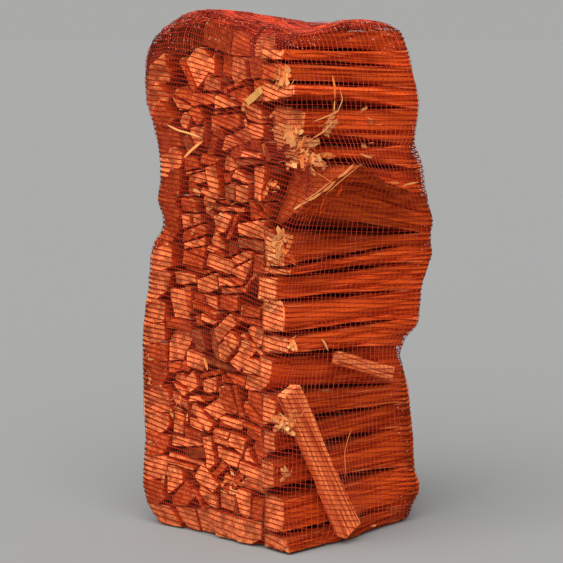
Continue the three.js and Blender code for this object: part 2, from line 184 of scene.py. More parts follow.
def makeGrainGroup():  # growth rings, fibres and broad streaks along a stick
    group = bpy.data.node_groups.new("woodGrain", "ShaderNodeTree")
    face = group.interface
    face.new_socket("Grain", in_out="INPUT", socket_type="NodeSocketVector")
    face.new_socket("Ring Scale", in_out="INPUT", socket_type="NodeSocketFloat").default_value = 90
    face.new_socket("Fibre Scale", in_out="INPUT", socket_type="NodeSocketFloat").default_value = 340
    for name in ("Rings", "Fibres", "Streaks", "Pores"):
        face.new_socket(name, in_out="OUTPUT", socket_type="NodeSocketFloat")
    start, end = group.nodes.new("NodeGroupInput"), group.nodes.new("NodeGroupOutput")
    grain = start.outputs["Grain"]

    def stretched(along):
        scaled = {0: grain, 1: (1, along, 1)}
        return newNode(group, "ShaderNodeVectorMath", scaled, operation="MULTIPLY").outputs[0]

    rings = newNode(group, "ShaderNodeTexWave", {
        "Vector": stretched(0.05), "Scale": start.outputs["Ring Scale"], "Distortion": 3.2,
        "Detail": 2.0, "Detail Scale": 0.6}, wave_type="RINGS", rings_direction="Y", wave_profile="SAW")
    fibres = newNode(group, "ShaderNodeTexNoise", {
        "Vector": stretched(0.022), "Scale": start.outputs["Fibre Scale"], "Detail": 3.0,
        "Roughness": 0.6})
    streaks = newNode(group, "ShaderNodeTexNoise", {
        "Vector": stretched(0.06), "Scale": 110.0, "Detail": 2.0})
    pores = newNode(group, "ShaderNodeTexNoise", {"Vector": grain, "Scale": 620.0, "Detail": 2.0})
    for name, node in (("Rings", rings), ("Fibres", fibres), ("Streaks", streaks), ("Pores", pores)):
        group.links.new(node.outputs["Fac"], end.inputs[name])
    return group


grainGroup = makeGrainGroup()

woodFinish = {
    "sideDark": (0.22, 0.004, 0.0003, 1), "sideLight": (1.0, 0.128, 0.016, 1),
    "endDark": (0.86, 0.085, 0.006, 1), "endLight": (1.0, 0.37, 0.135, 1), "endMottle": (0.50, 1.42),
    "raw": (1.0, 0.56, 0.22, 1), "weathered": (0.13, 0.035, 0.014, 1),
    "roughness": (0.58, 0.85), "bump": 0.7, "bumpHeight": 0.8 * mm,
}
paleFinish = dict(
    woodFinish, sideDark=(0.82, 0.17, 0.030, 1), sideLight=(1.0, 0.50, 0.19, 1),
    endDark=(0.56, 0.23, 0.050, 1), endLight=(0.80, 0.42, 0.14, 1))


def makeWood(name, finish):
    material, tree, shader = newMaterial(name)
    grain = newNode(tree, "ShaderNodeGroup", node_tree=grainGroup)
    tree.links.new(attribute(tree, "grain").outputs["Vector"], grain.inputs["Grain"])
    tone, endFace, raw, weather = (
        attribute(tree, key).outputs["Fac"] for key in ("tone", "endFace", "raw", "weather"))
    rings, fibres, streaks, pores = (
        grain.outputs[key] for key in ("Rings", "Fibres", "Streaks", "Pores"))

    def scaled(colour, factor):
        inputs = {0: colour, "Scale": factor}
        return newNode(tree, "ShaderNodeVectorMath", inputs, operation="SCALE").outputs[0]

    fibreShare = remap(tree, fibres, 0.42, 0.62, (0.0, 0.68))
    sideShare = maths(tree, "ADD", fibreShare, remap(tree, rings, 0, 1, (0.32, 0.0)))
    side = mixColour(tree, sideShare, finish["sideDark"], finish["sideLight"])
    side = mixColour(tree, remap(tree, streaks, 0.46, 0.68, (0.0, 0.5)), side, finish["sideLight"])
    poreShare = remap(tree, pores, 0.36, 0.64, (0.0, 0.5))
    endShare = maths(tree, "ADD", poreShare, remap(tree, rings, 0, 1, (0.5, 0.1)))
    end = mixColour(tree, endShare, finish["endDark"], finish["endLight"])
    end = scaled(end, remap(tree, streaks, 0.36, 0.66, finish["endMottle"]))
    # tone carries painted shade and painted light besides each stick's own tone
    both = scaled(mixColour(tree, endFace, side, end), tone)
    rawShare = maths(tree, "MULTIPLY", raw, remap(tree, fibres, 0.40, 0.60, (0.15, 1.1)))
    both = mixColour(tree, rawShare, both, finish["raw"])
    weatherShare = maths(tree, "MULTIPLY", weather, remap(tree, streaks, 0.3, 0.6))
    both = mixColour(tree, weatherShare, both, finish["weathered"])
    tree.links.new(both, shader.inputs["Base Color"])
    tree.links.new(remap(tree, fibres, 0.3, 0.7, finish["roughness"]), shader.inputs["Roughness"])
    relief = {"Strength": finish["bump"], "Distance": finish["bumpHeight"]}
    relief["Height"] = mixColour(tree, endFace, fibres, pores)
    bump = newNode(tree, "ShaderNodeBump", relief)
    tree.links.new(bump.outputs["Normal"], shader.inputs["Normal"])
    shader.inputs["Specular IOR Level"].default_value = 0.01
    return material


splitWood = makeWood("splitWood", woodFinish)
paleWood = makeWood("paleWood", paleFinish)

netFinish = {
    "dark": (0.20, 0.006, 0.001, 1), "light": (0.42, 0.022, 0.008, 1), "spread": (0.3, 0.7),
    "roughness": (0.34, 0.52)}
waleFinish = {
    "dark": (0.34, 0.022, 0.012, 1), "light": (0.72, 0.13, 0.085, 1), "spread": (0.3, 0.7),
    "roughness": (0.30, 0.45)}
bunchFinish = {
    "dark": (0.035, 0.0006, 0.0002, 1), "light": (1.0, 0.105, 0.040, 1), "spread": (0.45, 0.55),
    "roughness": (0.30, 0.48)}
# pale pink knots: a painted glint where the net's crossings would catch the light
knotGlintFinish = {
    "dark": (0.62, 0.20, 0.13, 1), "light": (0.95, 0.66, 0.55, 1), "spread": (0.4, 0.6),
    "roughness": (0.25, 0.4)}
outlineShadeDark = (0.045, 0.010, 0.006, 1)  # painted shade: darker film along the bundle's two outline corners, where it is seen edge-on and lies double


def makeNetFilm(name, finish):
    material, tree, shader = newMaterial(name)
    spot = newNode(tree, "ShaderNodeTexCoord").outputs["Object"]
    cloud, fleck = (
        newNode(tree, "ShaderNodeTexNoise", {
            "Vector": spot, "Scale": scale, "Detail": detail}).outputs["Fac"]
        for scale, detail in ((60.0, 2.0), (900.0, 1.0)))
    halves = [remap(tree, value, *finish["spread"], (0.0, 0.5)) for value in (cloud, fleck)]
    share = maths(tree, "ADD", *halves)
    colour = mixColour(tree, share, finish["dark"], finish["light"])
    # painted shade along the bundle's outline corners, by the edge value
    colour = mixColour(tree, attribute(tree, "edge").outputs["Fac"], colour, outlineShadeDark)
    tree.links.new(colour, shader.inputs["Base Color"])
    tree.links.new(remap(tree, fleck, 0.3, 0.7, finish["roughness"]), shader.inputs["Roughness"])
    bump = newNode(tree, "ShaderNodeBump", {"Strength": 0.3, "Distance": 0.2 * mm, "Height": fleck})
    tree.links.new(bump.outputs["Normal"], shader.inputs["Normal"])
    shader.inputs["Specular IOR Level"].default_value = 0.05
    return material


netFilm = makeNetFilm("netFilm", netFinish)
netBunch = makeNetFilm("netBunch", bunchFinish)
netWale = makeNetFilm("netWale", waleFinish)
netGlintKnot = makeNetFilm("netGlintKnot", knotGlintFinish)
print("materials made")


# sticks

class Pile:  # gathers points, faces and per-point values of one piece
    def __init__(self):
        self.points, self.faces, self.values, self.count = [], [], {}, 0

    def add(self, points, faces, values):
        self.points.append(points)
        self.faces += [[k + self.count for k in face] for face in faces]
        for key, value in values.items():
            self.values.setdefault(key, []).append(value)
        self.count += len(points)


allWood = {"points": [], "faces": [], "count": 0}  # what the net lies on


def setValue(mesh, key, value):  # one number or one vector a point
    kind, field = ("FLOAT_VECTOR", "vector") if value.ndim == 2 else ("FLOAT", "value")
    mesh.attributes.new(key, kind, "POINT").data.foreach_set(field, value.ravel())


def makePiece(name, pile, material):
    points = np.concatenate(pile.points)
    mesh = bpy.data.meshes.new(name)
    mesh.from_pydata(points.tolist(), [], pile.faces)
    for key, value in pile.values.items():
        setValue(mesh, key, np.concatenate(value))
    mesh.materials.append(material)
    mesh.update()
    piece = newObject(name, mesh)
    allWood["points"].append(points)
    allWood["faces"] += [[k + allWood["count"] for k in face] for face in pile.faces]
    allWood["count"] += len(points)
    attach(piece, "root")
    return piece


stickForm = {
    "sideStep": 3.3 * mm, "lengthStep": 9 * mm, "endRows": (0, 1.3 * mm, 4.5 * mm), "firstRow": 12 * mm,
    "fibre": (3.4 * mm, 55 * mm), "fibreDepth": 0.8 * mm, "hollow": 1.0 * mm,
    "ragged": 1.7 * mm, "raggedReach": 1.8 * mm, "chip": (20 * mm, 11 * mm),
    "roll": 0.0, "rollReach": 4.5 * mm, "swell": (45 * mm, 30 * mm),
    "cracks": 1, "crackDepth": 2.6 * mm, "crackWidth": 2.2 * mm, "crackWander": (4 * mm, 50 * mm),
    "deepest": 0.35, "calm": (0.0, 0.0), "calmReach": 30 * mm,
    "arris": 0.5 * mm, "endTilt": 0.15, "tiltReach": 30 * mm,
    "capRings": 3, "capRelief": 0.6 * mm, "capGrain": 6 * mm,
    "brightEnds": 0.62, "brightTone": (0.92, 1.25), "dullTone": (0.66, 0.98), "dullShare": 0.25,
    # the gap values set how dark the painted shade between sticks is, where it starts and how far it
    # reaches
    "paintedGapTone": 0.22, "paintedGapFrom": 1.2 * mm, "paintedGapReach": 7 * mm, "pale": 0.0, "tornGrain": 5 * mm,
}
looseSticks = ("leaning_stick", "crossed_stick")
openSide = {"left": (-1, 0, 0), "right": (1, 0, 0), "bottom": (0, 0, -1), "top": (0, 0, 1)}
tornEnds = [  # middle and spread of the places where ends are torn
    ((84, -100, 416), 15), ((98, -100, 393), 14), ((105, -90, 408), 13), ((86, -100, 300), 18),
    ((104, -94, 312), 10), ((92, -100, 131), 11), ((97, -100, 470), 9), ((78, -100, 252), 9),
    ((100, -100, 212), 8),
]
askew = (0.31, 0.2, 0.93)  # no stick lies along it


def stickGrid(rings, form, coarse):  # rows of points around a stick, and where each lies on it
    axis = unit(rings[-1].mean(0) - rings[0].mean(0))
    length = float((rings[-1].mean(0) - rings[0].mean(0)) @ axis)
    first, nearEnd = form["firstRow"], np.array(form["endRows"])
    count = max(3, round((length - 2 * first) / (form["lengthStep"] * coarse)))
    inner = np.linspace(first, length - first, count)
    stops = np.concatenate([nearEnd, inner, length - nearEnd[::-1]])
    share = stops / length
    stack, ringShares = np.array(rings), np.linspace(0, 1, len(rings))
    corners = np.empty((len(stops), stack.shape[1], 3))
    for k in range(stack.shape[1]):
        for c in range(3):
            corners[:, k, c] = np.interp(share, ringShares, stack[:, k, c])
    nextCorners = np.roll(corners, -1, axis=1)
    widths = np.linalg.norm(nextCorners - corners, axis=-1).mean(0)
    pieces = np.maximum(2, np.round(widths / (form["sideStep"] * coarse))).astype(int)
    side = np.repeat(np.arange(len(pieces)), pieces)
    step = np.concatenate([np.arange(n) / n for n in pieces])
    points = corners[:, side] * (1 - step)[None, :, None] + nextCorners[:, side] * step[None, :, None]
    middle = corners.mean(1, keepdims=True)
    outward = np.cross(nextCorners - corners, axis)
    facing = (((corners + nextCorners) / 2 - middle) * outward).sum(-1, keepdims=True)
    outward = unit(outward * np.sign(facing))
    normal = outward[:, side]
    atCorner = step == 0
    normal[:, atCorner] = unit(normal[:, atCorner] + np.roll(outward, 1, axis=1)[:, side[atCorner]])
    sideways = unit(np.cross(axis, askew))
    return {
        "axis": axis, "sideways": sideways, "upright": np.cross(axis, sideways), "length": length,
        "stops": stops, "share": share, "points": points, "middle": middle, "normal": normal,
        "across": np.concatenate([[0], np.cumsum(widths)])[side] + step * widths[side],
        "toCorner": np.minimum(step, 1 - step) * widths[side],
    }


def tearSides(grid, seed, dice, form):  # how far each point lies in, and how torn the edge is there
    across, along = np.meshgrid(grid["across"], grid["stops"])
    toCorner, share = grid["toCorner"], grid["share"]
    fibreWidth, fibreLength = form["fibre"]
    probe = np.stack([across / fibreWidth, along / fibreLength, np.full_like(along, seed * 0.37)], -1)
    fibre, broad = valueNoise(probe, seed), valueNoise(probe * [0.28, 0.8, 1], seed + 1)
    inward = form["fibreDepth"] * (0.5 + 0.5 * fibre) + form["hollow"] * np.maximum(0, broad)
    edge = np.exp(-toCorner / form["raggedReach"])[None, :]
    chips = np.maximum(0, flatNoise(seed + 2, across / form["chip"][0], along / form["chip"][1], 3.3))
    inward += form["ragged"] * edge * chips
    swell = 0.6 + 0.7 * flatNoise(seed + 4, along / form["swell"][0], across / form["swell"][1], 7.7)
    inward += form["roll"] * np.exp(-toCorner / form["rollReach"])[None, :] * np.maximum(0, swell)
    sway, bend = form["crackWander"]
    for crack in range(form["cracks"]):
        where, start = dice.random() * grid["across"][-1], dice.random() * 0.8 - 0.2
        reach = dice.uniform(0.3, 0.9)
        wander = where + sway * flatNoise(seed + 3, along / bend, crack, 0)
        run = np.clip(np.minimum(share - start, start + reach - share) * 8, 0, 1)[:, None]
        depth = form["crackDepth"] * dice.uniform(0.5, 1.2)
        inward += depth * np.exp(-(((across - wander) / form["crackWidth"]) ** 2)) * run
    thickness = np.linalg.norm(grid["points"] - grid["middle"], axis=-1)
    inward = np.minimum(inward, thickness * form["deepest"])
    for calm, reach in zip(form["calm"], (grid["stops"], grid["length"] - grid["stops"])):
        inward *= 1 - calm * np.clip(1 - reach / form["calmReach"], 0, 1)[:, None]  # less torn at the net
    return inward, edge * np.clip(chips * 1.6 + 0.1, 0, 1)


def sawEnds(grid, points, dice, form):  # breaks the ends' edges and cuts both ends slightly aslant
    stops = grid["stops"]
    arris = np.zeros(len(stops))
    arris[[0, -1]] = form["arris"]
    points = points - unit(points - grid["middle"]) * arris[:, None, None]
    offset = points - grid["middle"]
    for outermost, reach in ((np.min, stops), (np.max, grid["length"] - stops)):
        lean = dice.normal(0, form["endTilt"], 2)
        near = np.clip(1 - reach / form["tiltReach"], 0, 1)[:, None]
        slope = (offset @ grid["sideways"]) * lean[0] + (offset @ grid["upright"]) * lean[1]
        points = points + ((slope - outermost(slope)) * near)[..., None] * grid["axis"]
    return points


def closeStick(points, axis, seed, form):  # faces along the sides, and both ends closed by smaller rings
    rows, around = points.shape[:2]
    flat, faces = [points.reshape(-1, 3)], []
    for r in range(rows - 1):
        for k in range(around):
            n = (k + 1) % around
            faces.append((r * around + k, r * around + n, (r + 1) * around + n, (r + 1) * around + k))
    total = rows * around
    for end in (0, rows - 1):
        rim, before = points[end], end * around
        centre = rim.mean(0)
        for ring in range(1, form["capRings"] + 1):
            layer = centre + (rim - centre) * (1 - ring / (form["capRings"] + 0.6))
            relief = valueNoise(layer / form["capGrain"], seed + 5) * form["capRelief"]
            flat.append(layer + relief[:, None] * axis)
            for k in range(around):
                n = (k + 1) % around
                quad = (before + n, before + k, total + k, total + n)
                faces.append(quad if end == 0 else quad[::-1])
            before, total = total, total + around
        flat.append(centre[None])
        for k in range(around):
            tri = (before + (k + 1) % around, before + k, total)
            faces.append(tri if end == 0 else tri[::-1])
        total += 1
    flat = np.concatenate(flat)
    fan = np.array([f[:3] for f in faces] + [(f[0], f[2], f[3]) for f in faces if len(f) == 4])
    a, b, c = flat[fan[:, 0]], flat[fan[:, 1]], flat[fan[:, 2]]
    if (a * np.cross(b, c)).sum() < 0:  # the outlines may run either way round
        faces = [f[::-1] for f in faces]
    return flat, faces


def paintedGapShade(grid, points, openTo, form):  # painted shade: darkens the sides that face other sticks, darker the deeper into the gap
    rows, around = points.shape[:2]
    outside = np.zeros((rows, around))
    if np.any(openTo):
        outside = np.clip((grid["normal"] @ np.asarray(openTo, float) - 0.2) * 3, 0, 1)
    if openTo == openSide["right"]:
        depth = points[..., 0].max(1, keepdims=True) - points[..., 0]
    else:
        toEnd = np.minimum(grid["stops"], grid["length"] - grid["stops"])
        depth = np.broadcast_to(toEnd[:, None], (rows, around))
    fade = np.exp(-np.maximum(0, depth - form["paintedGapFrom"]) / form["paintedGapReach"])
    return np.maximum(form["paintedGapTone"] + (1 - form["paintedGapTone"]) * fade, outside)


def cutStick(pile, rings, seed, form=stickForm, tone=None, raw=0.25, weather=0.0, coarse=1.0,
             openTo=None, lift=1.0):
    dice = np.random.default_rng(seed)
    rings = [np.asarray(r, float) for r in rings]
    grid = stickGrid(rings, form, coarse)
    inward, tornEdge = tearSides(grid, seed, dice, form)
    points = sawEnds(grid, grid["points"] - grid["normal"] * inward[..., None], dice, form)
    flat, faces = closeStick(points, grid["axis"], seed, form)
    around, onSides = points.shape[1], points.shape[0] * points.shape[1]
    pith = dice.uniform(0.02, 0.09) * np.array([math.cos(seed), math.sin(seed)])
    local = flat - rings[0].mean(0)
    grain = np.stack([local @ grid["sideways"] + pith[0], local @ grid["axis"] + seed * 0.713,
                      local @ grid["upright"] + pith[1]], -1)
    # painted shade on the sides that lie in the gaps between sticks
    shade = np.ones(len(flat))
    if openTo is not None:
        shade[:onSides] = paintedGapShade(grid, points, openTo, form).ravel()
    bright = dice.random() < form["brightEnds"]
    if tone is None:
        tone = dice.uniform(*form["brightTone"]) if bright else dice.uniform(*form["dullTone"])
    endFace = np.full(len(flat), 1.0 if bright else form["dullShare"])
    endFace[around:onSides - around] = 0
    fresh = np.zeros(len(flat))
    fresh[:onSides] = tornEdge.ravel() * raw
    fresh = np.maximum(fresh, form["pale"])
    patchy = np.clip(0.7 + valueNoise(flat / form["tornGrain"], seed + 7), 0, 1)
    for middle, spread in tornEnds:  # fresh pale wood where ends are torn
        far = np.linalg.norm((flat - place(*middle)) / mm, axis=1) / spread
        fresh = np.maximum(fresh, 0.9 * np.exp(-(far ** 2)) * patchy * (endFace > 0))
    # the tone value is the stick's own tone times its painted gap shade and, on the right flanks, painted
    # light by height
    pile.add(flat, faces, {
        "tone": shade * tone * lift, "endFace": endFace, "grain": grain, "raw": fresh,
        "weather": np.full(len(flat), weather)})


def nodeRings(name):  # a stick's end outlines, in order, with one half way where the solid has it
    points = np.array([v.co for v in nodes[name].data.vertices])
    points = np.unique(np.round(points, 6), axis=0)
    axis = np.array([0.0, 1.0, 0.0])
    if name in looseSticks:
        axis = np.linalg.svd(points - points.mean(0))[2][0]
        axis = axis if axis[1] > 0 else -axis
    points = points[np.argsort(points @ axis)]
    rings = np.split(points, 2 if name in looseSticks else 3)
    flatAxes = np.linalg.svd(axis[None])[2][1:]
    ordered = []
    for ring in rings:
        offset = ring - ring.mean(0)
        ring = ring[np.argsort(np.arctan2(offset @ flatAxes[1], offset @ flatAxes[0]))]
        if ordered:
            before = ordered[-1] - ordered[-1].mean(0)
            rolls = [np.roll(ring, k, axis=0) for k in range(len(ring))]
            ring = min(rolls, key=lambda r: (((r - r.mean(0)) - before) ** 2).sum())
        ordered.append(ring)
    return ordered


flankPaintedLight = ((0, 150, 300, 500), (0.70, 0.83, 1.05, 1.3))  # height, and how much painted light the right sides get: darker low down, lighter high up
outerSticks = sorted(n for n in nodes if n not in ("net", "inner_sticks"))
# each stick's tone; left_stick_20, left_stick_21, top_stick_1 and top_stick_2 are darkened as painted
# shade in the pocket under the crown, and right_stick_11 as painted shadow under the block
toneAndShadeOf = {
    "leaning_stick": 1.5, "crossed_stick": 1.3, "right_stick_12": 0.72, "right_stick_11": 0.75,
    "left_stick_21": 0.2, "left_stick_20": 0.85, "top_stick_1": 0.22, "top_stick_2": 0.55,
    "bottom_stick_1": 0.7, "bottom_stick_2": 0.75, "bottom_stick_3": 0.7, "bottom_stick_4": 0.75,
    "left_stick_01": 0.75,
}
edgeForm = dict(
    stickForm, endTilt=0.05, hollow=0.6 * mm, ragged=1.2 * mm, calm=(0.75, 0.4), roll=2.0 * mm)
flankForm = dict(
    stickForm, cracks=6, crackDepth=3.6 * mm, crackWidth=1.5 * mm, fibreDepth=1.7 * mm, brightEnds=0.8,
    endTilt=0.06, calm=(0.3, 0.95), calmReach=55 * mm, roll=3.2 * mm)
blockForm = dict(flankForm, brightEnds=0.0, endTilt=0.0)
looseForm = dict(flankForm, roll=0.0, pale=0.34)
dullForm = dict(edgeForm, brightEnds=0.0)
dullSticks = ("left_stick_21", "top_stick_1", "top_stick_2")  # deep in the shade of the crown
block = "right_stick_12"  # the broad one, cut aslant
blockCut = ((345, 386), (-91, -37))  # height, and how far along its outer edge begins


def formOf(name):  # a stick's form, and how coarse its mesh is
    if name in looseSticks:
        return looseForm, 0.6
    if name.startswith("right"):
        return (blockForm if name == block else flankForm), 0.6
    return (dullForm if name in dullSticks else edgeForm), 1.0


def columnSide(name):  # -1 in the left column, 1 in the right one, 0 elsewhere
    return -1 if name.startswith("left") else 1 if name.startswith("right") else 0


reachForm = {
    "inside": 0.3 * mm, "edge": 4 * mm, "least": -2 * mm, "mostLeft": 12 * mm, "mostBack": 30 * mm,
    "flank": 8 * mm, "squared": 0.8, "spread": 0.6 * mm,
}


def reachLeft(rings, lack, form):  # the left column grows sideways, most at the front
    for ring, share in zip(rings, (1, 0.5, 0)):
        outer = ring[:, 0] < ring[:, 0].mean()
        ring[outer, 0] -= np.clip(lack / cameraRight[0], form["least"], form["mostLeft"]) * share
        ring[outer, 2] += np.sign(ring[outer, 2] - ring[:, 2].mean()) * form["spread"]
    return rings


def reachBack(rings, lack, form, name):  # the right column grows at the back, where its flank is squarer
    back = rings[-1] + [0, np.clip(lack / cameraRight[1], form["least"], form["mostBack"]), 0]
    flank = back[:, 0] > back[:, 0].max() - form["flank"]
    low, high, middle = back[:, 2].min(), back[:, 2].max(), back[flank, 2].mean()
    upper, lower = flank & (back[:, 2] > middle), flank & (back[:, 2] < middle)
    back[upper, 2] += (high - back[upper, 2]) * form["squared"]
    back[lower, 2] -= (back[lower, 2] - low) * form["squared"]
    rings[-1] = back
    if name == block:
        outer = rings[0][:, 0] > rings[0][:, 0].mean()
        heights, starts = np.array(blockCut) * mm
        rings[0][outer, 1] = np.interp(rings[0][outer, 2], heights, starts) - stackShift[1]
    if name == "right_stick_01":  # the lowest bulges out
        for ring, more in ((rings[-1], 13 * mm), (rings[1], 8 * mm)):
            ring[ring[:, 0] > 80 * mm, 0] += more
    if name == "right_stick_19":  # the highest stands up
        for ring, more in ((rings[-1], 3 * mm), (rings[1], 4 * mm)):
            ring[ring[:, 2] > ring[:, 2].mean(), 2] += more
    return rings


def reachOut(rings, name, form=reachForm):  # the outermost sticks end just inside the net's outline
    side = columnSide(name)
    if side == 0:
        return rings
    ring = rings[0] if side < 0 else rings[-1]
    seen = seenAcross(ring, side)
    edge = ring[seen > seen.max() - form["edge"]]
    lack = reachAt(side, edge[:, 2]).min() - form["inside"] - seen.max()
    return reachLeft(rings, lack, form) if side < 0 else reachBack(rings, lack, form, name)


# and their edges follow that outline, level by level
def pressOut(points, side, inside=0.3 * mm, reach=35 * mm, most=(-3 * mm, 14 * mm), step=4 * mm):
    seen, z = seenAcross(points, side), points[:, 2]
    levels = np.arange(z.min() + step / 2, z.max(), step)
    edge = np.array([seen[np.abs(z - level) <= step].max(initial=-1) for level in levels])
    levels, edge = levels[edge > 0], edge[edge > 0]
    edgeAt = np.interp(z, levels, edge)
    lack = np.clip(reachAt(side, z) - inside - edgeAt, *most)
    weight = np.clip(1 - (edgeAt - seen) / reach, 0, 1)
    return points + side * cameraRight * (lack * weight)[:, None]


def byHeight(ringsOf, column, end):  # neighbours in a column, from the lowest pair up
    names = [n for n in ringsOf if n.startswith(column)]
    names.sort(key=lambda n: ringsOf[n][end][:, 2].mean())
    return zip(names, names[1:])


# back ends of the right column lie close, so no light shows between them
def closeBacks(ringsOf, over=1.5 * mm, widest=30 * mm):
    for below, above in byHeight(ringsOf, "right", -1):
        low, high = ringsOf[below][-1], ringsOf[above][-1]
        upper, lower = low[:, 2] > low[:, 2].mean(), high[:, 2] < high[:, 2].mean()
        level = (low[upper, 2].max() + high[lower, 2].min()) / 2
        if abs(high[lower, 2].min() - low[upper, 2].max()) < widest:
            low[upper, 2], high[lower, 2] = level + over, level - over


# and so do the outer edges of the left column, from the front to half way
def closeFronts(ringsOf, over=0.9 * mm):
    for below, above in byHeight(ringsOf, "left", 0):
        for low, high in zip(ringsOf[below][:2], ringsOf[above][:2]):
            upper = (low[:, 2] > low[:, 2].mean()) & (low[:, 0] < low[:, 0].mean())
            lower = (high[:, 2] < high[:, 2].mean()) & (high[:, 0] < high[:, 0].mean())
            if upper.any() and lower.any():
                level = (low[upper, 2].max() + high[lower, 2].min()) / 2
                low[upper, 2] = np.maximum(low[upper, 2], level + over)
                high[lower, 2] = np.minimum(high[lower, 2], level - over)


outerSeed, innerSeed = 100, 300
outlines, ringsOf = {}, {}
for name in outerSticks:
    rings = nodeRings(name)
    outlines[name] = rings[0][:, [0, 2]].copy()
    ringsOf[name] = reachOut(rings, name)
closeBacks(ringsOf)
closeFronts(ringsOf)
for number, name in enumerate(outerSticks):
    rings, pile = ringsOf[name], Pile()
    form, coarse = formOf(name)
    height = rings[0][:, 2].mean() / mm
    # the right flanks get painted light that grows with height
    cutStick(pile, rings, outerSeed + number, form, toneAndShadeOf.get(name),
             raw=0.8 if name in looseSticks else 0.45, coarse=coarse,
             openTo=openSide.get(name.split("_")[0]),
             lift=np.interp(height, *flankPaintedLight) if form is flankForm else 1.0)
    side = columnSide(name)
    if side != 0:
        pile.points[0] = pressOut(pile.points[0], side)
    piece = makePiece("split_" + name, pile, splitWood)
    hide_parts(name)
print("outer sticks split:", len(outerSticks))


# inner sticks: turned rectangles pushed apart until they lie side by side, then trimmed to each other

innerForm = {  # in millimetres
    "width": (20, 40), "height": (11, 24), "fill": 1.12, "grow": 7, "rightWall": 63.4, "front": -99.6,
    "back": 99.4, "scatter": 4.5, "recessed": 0.04, "recess": (14, 34), "gap": (0.5, 1.7), "passes": 260,
    "smallest": 40, "halved": 0.3, "halfBack": (2, 9), "halfGap": 0.3, "level": 0.45, "tilt": 0.22,
    "lanes": 4, "rows": (28, 460), "push": 0.22, "soft": 0.92, "near": 60, "shortest": 0.6,
    "crownFrom": 470, "crownBack": 10, "taper": 0.96, "weathered": 0.04,
}


def boxAxes(angle):
    along, up = (np.cos(angle), np.sin(angle)), (-np.sin(angle), np.cos(angle))
    return np.stack([np.stack(along, -1), np.stack(up, -1)], -2)


def clipOutline(outline, direction, limit):  # keeps what lies below limit along direction
    reach = outline @ direction - limit
    kept = []
    for k in range(len(outline)):
        n = (k + 1) % len(outline)
        if reach[k] <= 0:
            kept.append(outline[k])
        if (reach[k] < 0) != (reach[n] < 0) and reach[k] != reach[n]:
            kept.append(outline[k] + (outline[n] - outline[k]) * reach[k] / (reach[k] - reach[n]))
    return np.array(kept).reshape(-1, 2)


def sideNormals(outline):
    run = np.roll(outline, -1, axis=0) - outline
    run = run[np.linalg.norm(run, axis=1) > 1e-6]
    return unit(np.stack([run[:, 1], -run[:, 0]], -1))


def partingLine(a, b):  # the way from a to b along which they part most, with a's and b's edge there
    toB = b.mean(0) - a.mean(0)
    best = None
    for direction in np.concatenate([sideNormals(a), sideNormals(b)]):
        direction = direction if direction @ toB > 0 else -direction
        edges = (a @ direction).max(), (b @ direction).min()
        if best is None or edges[1] - edges[0] > best[1][1] - best[1][0]:
            best = (direction, edges)
    return best


def innerWalls():  # the space that the outer sticks leave, by height and by column
    rows = {key: [outlines[n] / mm for n in outlines if n.startswith(key + "_")]
            for key in ("left", "bottom", "top")}
    heights, columns = np.arange(0, 560), np.arange(-140, 140)
    left = np.full(len(heights), -1e3)
    for outline in rows["left"]:
        low, high = outline[:, 1].min(), outline[:, 1].max()
        left[(heights > low - 2) & (heights < high + 2)] = outline[:, 0].max()
    walls = {"left": np.where(left < -900, left.max(), left)}
    for key, pick, empty in (("bottom", np.max, 24), ("top", np.min, 490)):
        walls[key] = np.full(len(columns), empty, float)
        for outline in rows[key]:
            inside = (columns > outline[:, 0].min() - 2) & (columns < outline[:, 0].max() + 2)
            walls[key][inside] = pick(outline[:, 1])
    return walls, rows["left"] + rows["bottom"] + rows["top"]


def scatterBoxes(form, walls, right):  # half sizes, turns and first places
    tall = np.median(walls["top"]) - np.median(walls["bottom"])
    area = (right - walls["left"][40:480].mean()) * tall
    sizes, filled = [], 0
    while filled < area * form["fill"]:
        size = np.array([rng.uniform(*form["width"]), rng.uniform(*form["height"])])
        sizes.append(size)
        filled += size.prod()
    count, lanes = len(sizes), form["lanes"]
    level = rng.random(count) < form["level"]
    angle = np.where(level, rng.normal(0, form["tilt"], count), rng.uniform(-1.57, 1.57, count))
    order = rng.permutation(count)
    lowest, span = form["rows"]
    centres = []
    for k in range(count):
        lane, row = k % lanes, k // lanes
        z = lowest + (row + 0.5) * span / math.ceil(count / lanes)
        x0 = walls["left"][int(z)]
        centres.append([x0 + (lane + 0.5) * (right - x0) / lanes, z])
    return np.array(sizes) / 2, angle, np.array(centres)[order] + rng.normal(0, 4, (count, 2))


